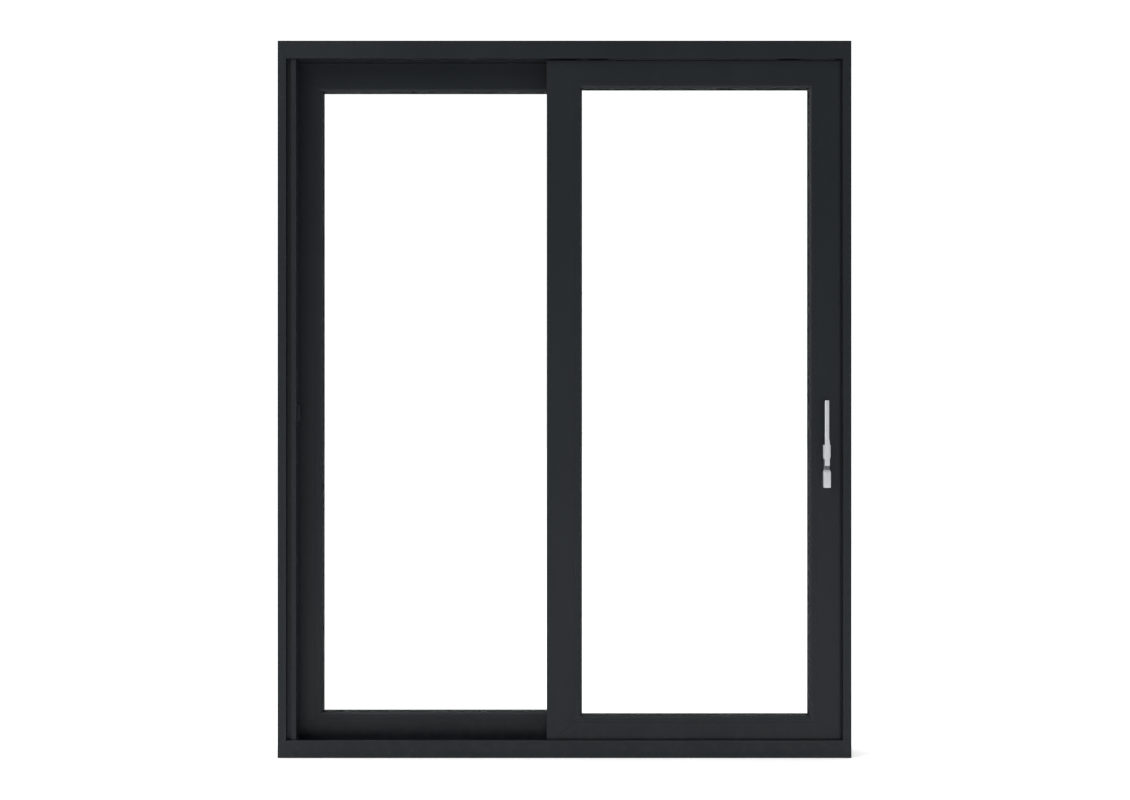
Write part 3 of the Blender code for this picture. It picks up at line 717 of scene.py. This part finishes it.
@dataclass(frozen=True)
class StarScrew:
    """A countersunk screw head with a six-lobed socket."""

    head_radius: float = 0.0036
    socket_radius: float = 0.0015
    socket_depth: float = 0.0009
    thickness: float = 0.0010
    crown: float = 0.0002
    lobes: int = 6
    lobe_share: float = 0.14
    count: int = 36

    def draft(self, top: Vector, axis: Axis, outwards: int) -> Draft:
        """Builds the head.

        Args:
            top: The middle of the face that shows.
            axis: The screw's direction.
            outwards: 1 if the head faces the axis's positive end, and -1 if not.

        Returns:
            The head's mesh.
        """

        def star(angle: float) -> float:
            """The socket's radius at an angle."""
            return self.socket_radius * (1 + self.lobe_share * math.cos(self.lobes * angle))

        # the radius at an angle, and how far out from the face
        levels: list[tuple[Callable[[float], float], float]] = [
            (lambda a: self.head_radius * 0.70, -self.thickness),
            (lambda a: self.head_radius, -0.0002),
            (lambda a: self.head_radius * 0.97, -0.00005),
            (lambda a: self.head_radius * 0.75, self.crown * 0.6),
            (lambda a: star(a) * 1.12, self.crown),
            (star, self.crown - 0.0001),
            (lambda a: star(a) * 0.96, self.crown - self.socket_depth),
        ]
        angles = [TURN * i / self.count for i in range(self.count)]
        rings = [
            [around(top, axis, radius(angle), angle, outwards * along) for angle in angles]
            for radius, along in levels
        ]
        return Draft().skin(rings)


# ---- the door


@dataclass
class SubAssembly:
    """A part of the door that is built and dressed together."""

    finishes: Finishes

    def build(self) -> None:
        """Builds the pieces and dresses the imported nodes."""
        raise NotImplementedError


@dataclass
class PackedPieces(SubAssembly):
    """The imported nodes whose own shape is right: they only take their finish."""

    def build(self) -> None:
        """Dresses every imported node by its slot, then the two that look different."""
        for row in frame["record"]["subparts"]:
            dress(row["node"], self.finishes.by_slot[Slot(row["material_slot"])])
        dress("sill_rail", self.finishes.rail_steel)
        dress("stop_buffer", self.finishes.grey_rubber)
        LOG.info("packed nodes: %d dressed", len(frame["nodes"]))


@dataclass
class GlazingSeals(SubAssembly):
    """The rubber rings on both sides of a panel's glass, fluted; the room-side ring has a thin black lip
    lining the beads' inner edges, which paints the shade of the glazing reveal.
    """

    panel: str
    body: Body
    ring_width: float = 0.010
    painted_shade_lip_width: float = 0.00034
    painted_shade_lip_rise: float = 0.0050
    nose_steps: int = 6
    flute_width: float = 0.0012
    flute_depth: float = 0.0005
    flutes: tuple[float, ...] = (0.0030, 0.0060)

    def build(self) -> None:
        """Builds the ring on the room side and the one on the weather side."""
        for side, node in (("room", "gasket_inner"), ("weather", "gasket_outer")):
            low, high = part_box(f"{self.panel}_{node}")
            section = self._section(low.y, high.y, self.painted_shade_lip_rise if side == "room" else 0.0)
            draft = Draft().skin(picture_frame(section, (low, high)), loop=True)
            name = f"{self.panel}_{side}_side_seal"
            stood_for = [f"{self.panel}_{node}"]
            add_piece(name, draft, self.finishes.rubber, self.body, stood_for, 50.0)

    def _section(self, front: float, back: float, rise: float) -> list[Flat]:
        """The ring's section.

        Args:
            front: Its least y.
            back: Its greatest y.
            rise: How far its thin black lip, painted shade of the reveal, stands forwards along the beads'
                edges, or 0 for a round nose alone.

        Returns:
            Points as (distance inwards, y).
        """
        section = [(0.0, back), (0.0, front)]
        for start in self.flutes:
            section += [
                (start, front),
                (start + self.flute_width / 2, front + self.flute_depth),
                (start + self.flute_width, front),
            ]
        # The rings are real seals. This thin black lip lining the bead's inner edge is painted shade,
        # standing in for the shade that falls in the reveal.
        if rise:
            inner = self.ring_width - self.painted_shade_lip_width
            section += [
                (inner, front),
                (inner, front - rise + self.painted_shade_lip_width / 3),
                (inner + self.painted_shade_lip_width / 3, front - rise),
                (self.ring_width - self.painted_shade_lip_width / 3, front - rise),
                (self.ring_width, front - rise + self.painted_shade_lip_width / 3),
            ]
        half = (back - front) / 2
        first = self.nose_steps // 2 if rise else 0
        for i in range(first, self.nose_steps + 1):
            angle = math.pi * (i / self.nose_steps - 0.5)
            inwards = self.ring_width - half + half * math.cos(angle)
            section.append((inwards, front + half + half * math.sin(angle)))
        return section


@dataclass
class BrushSeal(SubAssembly):
    """A strip of pile along a meeting stile: a thin foot with tufts that stand up from it."""

    name: str
    body: Body
    stile: str
    faces: int  # 1 if it stands out from the stile's back, and -1 if from its front
    inset: float
    seed: int
    end_gap: float = 0.03
    width: float = 0.0045
    foot: float = 0.0008
    pile: float = 0.0022
    tuft: float = 0.006
    evenness: float = 0.86
    most_lean: float = 0.06

    def build(self) -> None:
        """Builds the foot and a ridge of tufts of uneven height."""
        low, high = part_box(self.stile)
        x, y = (low.x + self.inset, high.y) if self.faces > 0 else (high.x - self.inset, low.y)
        start, end = Vector((x, y, low.z + self.end_gap)), Vector((x, y, high.z - self.end_gap))
        along, up = end - start, Vector((0.0, self.faces, 0.0))
        side = along.normalized().cross(up) * self.width / 2
        count = round(along.length / self.tuft)
        dice = random.Random(self.seed)
        rings = []
        for i in range(count + 1):
            base = start + along * (i / count)
            top = self.foot + self.pile * (self.evenness + (1 - self.evenness) * dice.random())
            lean = side.normalized() * self.width * self.most_lean * (dice.random() - 0.5)
            # share of half the width, height, whether it leans
            section = (
                (-1.0, 0.0, 0),
                (-1.0, self.foot, 0),
                (-0.62, self.foot, 0),
                (-0.50, top * 0.93, 1),
                (0.0, top, 1),
                (0.50, top * 0.93, 1),
                (0.62, self.foot, 0),
                (1.0, self.foot, 0),
                (1.0, 0.0, 0),
            )
            rings.append(
                [tuple(base + side * across + up * rise + lean * leans) for across, rise, leans in section]
            )
        add_piece(self.name, Draft().skin(rings), self.finishes.pile, self.body)


@dataclass
class RollerCarriage(SubAssembly):
    """One roller: the wheel with its bearing, and the ends of its axle."""

    side: str
    body: Body
    bearing_radius: float = 0.0085
    bearing_half: float = 0.0032
    bore: float = 0.0028
    shield_dip: float = 0.0004
    head_radius: float = 0.0040
    head_height: float = 0.0006

    def build(self) -> None:
        """Builds a grooved tyre round a shielded bearing, and a riveted axle."""
        steel, nylon = self.finishes.steel, self.finishes.nylon
        wheel, axle = f"roller_wheel_{self.side}", f"roller_axle_{self.side}"
        low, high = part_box(wheel)
        half, radius = (high.y - low.y) / 2, (high.z - low.z) / 2
        tyre = (
            (self.bearing_radius, -half),
            (radius - 0.0008, -half),
            (radius - 0.0002, -half + 0.0003),
            (radius, -half + 0.0010),
            (radius - 0.0001, -0.0024),
            (radius - 0.0006, -0.0019),
            (radius - 0.0020, -0.0016),
        )
        draft = Draft().skin(self._turned(tyre, wheel, 64), loop=True)
        add_piece(f"wheel_tyre_{self.side}", draft, nylon, self.body, [wheel], 35.0)
        race, face = self.bearing_radius - 0.0002, -self.bearing_half
        bearing = (
            (self.bore, face),
            (self.bore + 0.0010, face),
            (self.bore + 0.0013, face + self.shield_dip),
            (race - 0.0013, face + self.shield_dip),
            (race - 0.0010, face),
            (race, face),
        )
        draft = Draft().skin(self._turned(bearing, wheel, 48), loop=True)
        add_piece(f"wheel_bearing_{self.side}", draft, steel, self.body, (), 30.0)
        low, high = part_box(axle)
        half, pin = (high.y - low.y) / 2, (high.z - low.z) / 2
        rivet = (
            (pin * 0.4, -half),
            (self.head_radius * 0.8, -half + 0.0001),
            (self.head_radius, -half + self.head_height),
            (pin, -half + self.head_height + 0.0001),
        )
        draft = Draft().skin(self._turned(rivet, axle, 32))
        add_piece(f"riveted_axle_{self.side}", draft, steel, Body.SASH, [axle], 35.0)

    @staticmethod
    def _turned(front: Sequence[Flat], node: str, count: int) -> list[list[Point]]:
        """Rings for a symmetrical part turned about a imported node's axis.

        Args:
            front: The front half's (radius, y) points.
            node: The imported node.
            count: Points in each ring.

        Returns:
            The rings.
        """
        back = [(radius, -y) for radius, y in reversed(front)]
        return turned((*front, *back), middle(node), Axis.Y, count)


@dataclass
class HookLock(SubAssembly):
    """The faceplate on the sash's edge and the keeper on the jamb, with their screws."""

    screw: StarScrew = StarScrew()
    screw_inset: float = 0.0075
    slot_below: float = 0.0080  # under the hook's pin
    face_slot_above: float = 0.0340
    keeper_slot_above: float = 0.0310
    face_slot_half: float = 0.0035
    keeper_slot_half: float = 0.0042
    edge: float = 0.0004
    corner_steps: int = 6

    def build(self) -> None:
        """Builds both plates with round ends and a slot, then their screws."""
        steel, y, pin_z = self.finishes.steel, middle("lock_hook").y, middle("hook_pin").z
        bottom = pin_z - self.slot_below
        slot = (bottom, pin_z + self.face_slot_above)
        self._plate("faceplate", "lock_faceplate", slot, self.face_slot_half, Body.SASH, 1)
        slot = (bottom, pin_z + self.keeper_slot_above)
        self._plate("keeper_plate", "lock_keeper", slot, self.keeper_slot_half, Body.FRAME, -1)
        low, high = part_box("lock_faceplate")
        for name, z in (("lower", low.z + self.screw_inset), ("upper", high.z - self.screw_inset)):
            draft = self.screw.draft(Vector((high.x, y, z)), Axis.X, 1)
            add_piece(f"faceplate_screw_{name}", draft, steel, Body.SASH)
        plate_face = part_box("lock_keeper")[0].x
        for name in ("lower", "upper"):
            node = f"keeper_screw_{name}"
            draft = self.screw.draft(Vector((plate_face, y, middle(node).z)), Axis.X, -1)
            add_piece(f"keeper_star_screw_{name}", draft, steel, Body.FRAME, [node])

    def _plate(self, name: str, node: str, slot: Flat, slot_half: float, body: Body, faces: int) -> None:
        """Builds a plate with round ends, soft edges and a round-ended slot.

        Args:
            name: The piece's name.
            node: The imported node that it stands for.
            slot: The slot's lowest and highest z.
            slot_half: Half the slot's width.
            body: The body that it rides on.
            faces: 1 if its front faces +X, and -1 if it faces -X.
        """
        low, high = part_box(node)
        y, half = (low.y + high.y) / 2, (high.y - low.y) / 2
        front, back = (high.x, low.x) if faces > 0 else (low.x, high.x)
        bottom, top = slot
        shoulder, edge = front - faces * self.edge, self.edge
        rings = [
            self._stadium((back, y), slot_half, bottom, top),
            self._stadium((shoulder, y), slot_half, bottom, top),
            self._stadium((front, y), slot_half + edge, bottom - edge, top + edge),
            self._stadium((front, y), half - edge, low.z + edge, high.z - edge),
            self._stadium((shoulder, y), half, low.z, high.z),
            self._stadium((back, y), half, low.z, high.z),
        ]
        draft = Draft().skin(rings, loop=True)
        add_piece(name, draft, self.finishes.steel, body, [node], 30.0)

    def _stadium(self, centre: Flat, half_width: float, bottom: float, top: float) -> list[Point]:
        """Points around a shape with two round ends.

        Args:
            centre: Its x and its middle's y.
            half_width: Half its width, and the radius of its ends.
            bottom: Its lowest z.
            top: Its highest z.

        Returns:
            The points.
        """
        x, y = centre
        points = []
        for end, z in ((1, top - half_width), (-1, bottom + half_width)):
            for i in range(self.corner_steps + 1):
                angle, reach = math.pi * i / self.corner_steps, end * half_width
                points.append((x, y + reach * math.cos(angle), z + reach * math.sin(angle)))
        return points


@dataclass
class FlushPull(SubAssembly):
    """The cup outside the lock stile: a rim with soft corners round a dished well."""

    screw: StarScrew = StarScrew(head_radius=0.0016, socket_radius=0.0008, thickness=0.0008)
    corner_power: float = 7.0
    count: int = 56
    rim: float = 0.004

    def build(self) -> None:
        """Builds the cup and the two small screws in its rim."""
        low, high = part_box("exterior_pull")
        centre = (low + high) / 2
        half_x, half_z = (high.x - low.x) / 2, (high.z - low.z) / 2
        face, floor = high.y, low.y
        stile_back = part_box("sash_lock_stile")[1].y
        # how far in from the rim's edge, and the y of each ring
        levels = (
            (self.rim + 0.0002, floor),
            (self.rim + 0.0001, stile_back + 0.0002),
            (0.0002, stile_back + 0.0003),
            (0.0, stile_back + 0.0008),
            (0.0004, face - 0.0002),
            (0.0012, face),
            (self.rim + 0.0004, face),
            (self.rim + 0.0013, face - 0.0005),
            (self.rim + 0.0017, face - 0.0016),
            (self.rim + 0.0022, floor + 0.0040),
            (self.rim + 0.0034, floor + 0.0020),
            (self.rim + 0.0060, floor + 0.0012),
            (self.rim + 0.0100, floor + 0.0010),
        )
        rings = [
            [
                (centre.x + x, y, centre.z + z)
                for x, z in rounded_box(half_x - inset, half_z - inset, self.corner_power, self.count)
            ]
            for inset, y in levels
        ]
        metal = self.finishes.silver
        add_piece("flush_pull", Draft().skin(rings), metal, Body.SASH, ["exterior_pull"], 35.0)
        for name, z in (("lower", low.z + self.rim / 2), ("upper", high.z - self.rim / 2)):
            draft = self.screw.draft(Vector((centre.x, face, z)), Axis.Y, 1)
            add_piece(f"pull_screw_{name}", draft, self.finishes.steel, Body.SASH)


@dataclass
class LeverHandle(SubAssembly):
    """The satin lever and the base that it turns on."""

    count: int = 48
    steps_per_span: int = 4
    softness: float = 4.0
    grip_thickness: float = 0.008
    # height above the base's foot, half width, how far it stands off the stile
    base_shape: tuple[Point, ...] = (
        (0.0000, 0.0083, 0.0158),
        (0.0003, 0.0093, 0.0180),
        (0.0010, 0.0100, 0.0192),
        (0.0024, 0.0104, 0.0199),
        (0.0450, 0.0104, 0.0199),
        (0.0462, 0.0103, 0.0195),
        (0.0474, 0.0100, 0.0185),
        (0.0524, 0.0087, 0.0120),
        (0.0545, 0.0085, 0.0098),
        (0.0590, 0.0084, 0.0084),
        (0.0800, 0.0084, 0.0078),
        (0.0835, 0.0088, 0.0088),
        (0.0862, 0.0095, 0.0108),
        (0.0885, 0.0101, 0.0124),
        (0.0905, 0.0103, 0.0131),
        (0.0930, 0.0104, 0.0133),
        (0.1230, 0.0104, 0.0139),
        (0.1245, 0.0103, 0.0138),
        (0.1255, 0.0098, 0.0130),
        (0.1260, 0.0087, 0.0112),
    )
    # The waist between these stations is dressed in the darker silver: painted shade under the lever.
    waist_start: int = 7  # where in base_shape the dark waist starts and ends
    waist_end: int = 11
    # height above the lever's foot, middle from the spindle's axis, half width, thickness
    lever_shape: tuple[tuple[float, ...], ...] = (
        (0.0000, -0.0022, 0.0053, 0.0050),
        (0.0003, -0.0022, 0.0061, 0.0064),
        (0.0010, -0.0022, 0.0067, 0.0074),
        (0.0028, -0.0022, 0.0070, 0.0080),
        (0.0640, -0.0022, 0.0070, 0.0080),
        (0.0680, -0.0023, 0.0069, 0.0080),
        (0.0740, -0.0026, 0.0066, 0.0079),
        (0.0800, -0.0030, 0.0062, 0.0079),
        (0.0860, -0.0031, 0.0061, 0.0078),
        (0.1870, -0.0031, 0.0061, 0.0076),
        (0.1896, -0.0031, 0.0059, 0.0072),
        (0.1906, -0.0031, 0.0055, 0.0064),
        (0.1910, -0.0031, 0.0046, 0.0048),
    )
    # radius, how far behind the lever's front part, and then how far in front of the neck's end
    neck_start: tuple[Flat, ...] = ((0.0004, -0.0010), (0.0058, 0.0), (0.0057, 0.0016), (0.0055, 0.0032))
    neck_end: tuple[Flat, ...] = (
        (0.0055, 0.0042),
        (0.0058, 0.0034),
        (0.0060, 0.0028),
        (0.0060, 0.0004),
        (0.0057, 0.0),
        (0.0051, 0.0),
        (0.0051, 0.0030),
    )
    neck_overlap: float = 0.0012
    short_span: float = 0.02
    flat_below: float = 0.066
    crowned_above: float = 0.080
    flat_power: float = 6.0
    crowned_power: float = 2.6
    back_power: float = 4.5

    def build(self) -> None:
        """Builds the base, the lever and the neck between them."""
        self._base()
        self._lever()
        self._neck()

    def _base(self) -> None:
        """Builds the base: a block at the foot, a waist in a darker copy of the satin silver, which paints
        the shade under the lever, and the pad that the lever turns on.
        """
        silver, start, end = self.finishes.silver, self.waist_start, self.waist_end
        parts = (
            ("lever_base_block", self.base_shape[: start + 1], silver, ["handle_base"]),
            ("lever_base_waist", self.base_shape[start : end + 1], self.finishes.painted_shade_silver, []),
            ("lever_base_pad", self.base_shape[end:], silver, []),
        )
        for name, shape, material, stands_for in parts:
            draft = self._base_part(shape)
            add_piece(name, draft, material, Body.SASH, stands_for, 50.0)

    def _base_part(self, shape: Sequence[Point]) -> Draft:
        """Builds a stretch of the base: its back is flat on the stile, and its front corners are soft.

        Args:
            shape: Its stations.

        Returns:
            Its mesh.
        """
        low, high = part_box("handle_base")
        centre_x = (low.x + high.x) / 2
        angles = [math.pi * (1 + i / self.count) for i in range(self.count + 1)]
        rings = [
            [
                (
                    centre_x + half * squared(math.cos(angle), 2 * self.softness),
                    high.y - stand_off * abs(math.sin(angle)) ** (1 / self.softness),
                    low.z + up,
                )
                for angle in angles
            ]
            for up, half, stand_off in self._smooth(shape)
        ]
        return Draft().skin(rings)

    def _lever(self) -> None:
        """Builds the lever: crowned in front above the hub, flatter at the hub and behind."""
        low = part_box("handle_lever")[0]
        spindle, middle_y = middle("lever_spindle").x, low.y + self.grip_thickness / 2
        rings = []
        for up, shift, half, depth in self._smooth(self.lever_shape):
            share = min(max((up - self.flat_below) / (self.crowned_above - self.flat_below), 0.0), 1.0)
            front_power = self.flat_power + (self.crowned_power - self.flat_power) * share
            section = []
            for i in range(self.count):
                cos, sin = math.cos(TURN * i / self.count), math.sin(TURN * i / self.count)
                power = front_power if sin < 0 else self.back_power
                x = spindle + shift + half * squared(cos, power)
                section.append((x, middle_y + depth / 2 * squared(sin, power), low.z + up))
            rings.append(section)
        metal = self.finishes.silver
        add_piece("lever_grip", Draft().skin(rings), metal, Body.LEVER, ["handle_lever"], 50.0)

    def _neck(self) -> None:
        """Builds the round neck that joins the lever to its base."""
        low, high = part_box("handle_lever")
        spindle = middle("lever_spindle")
        start = low.y + self.grip_thickness - self.neck_overlap
        profile = [(radius, start + behind) for radius, behind in self.neck_start]
        profile += [(radius, high.y - before) for radius, before in self.neck_end]
        rings = turned(profile, Vector((spindle.x, 0.0, spindle.z)), Axis.Y, 40)
        add_piece("lever_neck", Draft().skin(rings), self.finishes.silver, Body.LEVER, (), 35.0)

    def _smooth(self, shape: Sequence[Sequence[float]]) -> list[tuple[float, ...]]:
        """Adds steps between the given stations, on a curve through them where they are close together.

        Args:
            shape: The stations, each with its height first.

        Returns:
            The stations with the added ones.
        """
        made = []
        for i in range(len(shape) - 1):
            near, far = shape[i], shape[i + 1]
            before, after = shape[max(i - 1, 0)], shape[min(i + 2, len(shape) - 1)]
            for j in range(self.steps_per_span):
                t = j / self.steps_per_span
                curved = far[0] - near[0] < self.short_span
                made.append(tuple(self._between(four, t, curved) for four in zip(before, near, far, after)))
        made.append(tuple(shape[-1]))
        return made

    @staticmethod
    def _between(four: tuple[float, ...], t: float, curved: bool) -> float:
        """A value between the second and third of four stations, which never leaves their range.

        Args:
            four: The value at each station.
            t: How far along, from 0 to 1.
            curved: Whether to bend, or else to go straight.

        Returns:
            The value.
        """
        before, near, far, after = four
        if not curved:
            return near + (far - near) * t
        step = far - near
        leave = max(min((far - before) / 2 / step, 1.0), 0.0) * step if step else 0.0
        arrive = max(min((after - near) / 2 / step, 1.0), 0.0) * step if step else 0.0
        return (
            near * (2 * t**3 - 3 * t**2 + 1)
            + leave * (t**3 - 2 * t**2 + t)
            + far * (3 * t**2 - 2 * t**3)
            + arrive * (t**3 - t**2)
        )


@dataclass
class Fixings(SubAssembly):
    """The small screws that hold the interlock strips and the stop buffer."""

    screw: StarScrew = StarScrew(head_radius=0.0030, socket_radius=0.0013, thickness=0.0008)
    buffer_screw: StarScrew = StarScrew(head_radius=0.0032, socket_radius=0.0014, thickness=0.0010)
    buffer_sink: float = 0.0012
    strip_sheet: float = 0.0015
    strip_screws: int = 6
    end_gap: float = 0.08

    def build(self) -> None:
        """Builds the buffer's screw, then the rows through the feet of the two interlock strips."""
        steel = self.finishes.steel
        top = middle("stop_buffer")
        top.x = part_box("stop_buffer")[1].x - self.buffer_sink
        add_piece("buffer_screw", self.buffer_screw.draft(top, Axis.X, 1), steel, Body.FRAME)
        rows = (
            ("sash_interlock", Body.SASH, 1, 0.35, "sash_strip_screw"),
            ("fixed_interlock", Body.FRAME, -1, 0.65, "fixed_strip_screw"),
        )
        for node, body, outwards, across, name in rows:
            low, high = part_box(node)
            y = low.y + self.strip_sheet if outwards > 0 else high.y - self.strip_sheet
            x = low.x + (high.x - low.x) * across
            length = high.z - low.z - 2 * self.end_gap
            for i in range(self.strip_screws):
                z = low.z + self.end_gap + length * i / (self.strip_screws - 1)
                draft = self.screw.draft(Vector((x, y, z)), Axis.Y, outwards)
                add_piece(f"{name}_{i + 1}", draft, steel, body)


# ---- the studio


@dataclass
class Studio:
    """A pale floor, a white sky, two soft lamps and the camera."""

    finishes: Finishes
    lens: float = 50.0
    sensor: float = 36.0
    camera_distance: float = 4.593
    camera_x: float = 0.0014
    camera_drop: float = 0.0021
    sky_strength: float = 1.25
    sky_behind: float = 0.06
    sky_fall: float = 0.50
    lamp_aim: Point = (0.0, 0.0, 1.0)
    floor_size: float = 60.0
    floor_gap: float = 0.0005

    def build(self) -> None:
        """Builds the stage, lights it and places the camera."""
        self._floor()
        self._sky()
        self._lamp("upper_left_softbox", Vector((-2.8, -1.5, 4.2)), 2.8, 90.0)
        self._lamp("far_side_softbox", Vector((3.0, 4.2, 3.2)), 2.6, 20.0)
        self._camera()

    def _floor(self) -> None:
        """Builds the floor, just under the sill."""
        half = self.floor_size / 2
        draft = Draft()
        corners = [(-half, -half), (half, -half), (half, half), (-half, half)]
        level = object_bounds()[0].z - self.floor_gap
        draft.bm.faces.new([draft.bm.verts.new((x, y, level)) for x, y in corners])
        floor = draft.finish("studio_floor")
        floor.data.materials.append(self.finishes.floor)
        floor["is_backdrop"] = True

    def _sky(self) -> None:
        """Makes the world a white sky that is darker behind the camera and towards the lock side."""
        world = bpy.data.worlds.new("studio_sky")
        tree = ShaderTree(world)
        direction = tree.node("ShaderNodeTexCoord", output="Generated")
        across, along = (tree.node("ShaderNodeSeparateXYZ", inputs={0: direction}, output=i) for i in (0, 1))
        behind = along.ramp(-0.95, -0.45, self.sky_behind, 1.0)
        beside = across.ramp(-0.5, 0.9, 0.0, self.sky_fall) * along.ramp(-0.2, 0.25, 1.0, 0.0)
        strength = behind * (1 - beside) * self.sky_strength
        inputs = {"Color": (1.0, 1.0, 1.0), "Strength": strength}
        tree.output(tree.node("ShaderNodeBackground", inputs=inputs), "World")
        scene = bpy.context.scene
        scene.world = world
        scene.view_settings.view_transform = "Standard"
        scene.view_settings.look = "None"

    def _lamp(self, name: str, place: Vector, size: float, power: float) -> None:
        """Adds a soft lamp that points at the door's middle.

        Args:
            name: The lamp's name.
            place: Where it hangs.
            size: The length of its side.
            power: Its power in watts.
        """
        light = bpy.data.lights.new(name, "AREA")
        light.size = size
        light.energy = power
        lamp = bpy.data.objects.new(name, light)
        aim = Vector(self.lamp_aim) - place
        lamp.matrix_world = Matrix.Translation(place) @ aim.to_track_quat("-Z", "Y").to_matrix().to_4x4()
        bpy.context.scene.collection.objects.link(lamp)

    def _camera(self) -> None:
        """Places the camera straight in front of the door, at half its height."""
        data = bpy.data.cameras.new("camera")
        data.lens = self.lens
        data.sensor_width = self.sensor
        camera = bpy.data.objects.new("camera", data)
        low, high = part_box("frame_head")
        camera.location = (self.camera_x, low.y - self.camera_distance, high.z / 2 - self.camera_drop)
        camera.rotation_euler = (math.pi / 2, 0.0, 0.0)
        bpy.context.scene.collection.objects.link(camera)
        bpy.context.scene.camera = camera


def main() -> None:
    """Builds the door's sub-assemblies in order, then the studio."""
    logging.basicConfig(level=logging.INFO, format="%(message)s")
    finishes = Finishes()
    assemblies: list[SubAssembly] = [
        PackedPieces(finishes),
        GlazingSeals(finishes, "fixed", Body.FRAME),
        GlazingSeals(finishes, "sash", Body.SASH),
        BrushSeal(finishes, "sash_brush_seal", Body.SASH, "sash_meeting_stile", 1, 0.008, seed=7),
        BrushSeal(finishes, "fixed_brush_seal", Body.FRAME, "fixed_meeting_stile", -1, 0.006, seed=11),
        RollerCarriage(finishes, "left", Body.WHEEL_LEFT),
        RollerCarriage(finishes, "right", Body.WHEEL_RIGHT),
        HookLock(finishes),
        FlushPull(finishes),
        LeverHandle(finishes),
        Fixings(finishes),
    ]
    for assembly in assemblies:
        assembly.build()
    Studio(finishes).build()


if __name__ == "__main__":
    main()
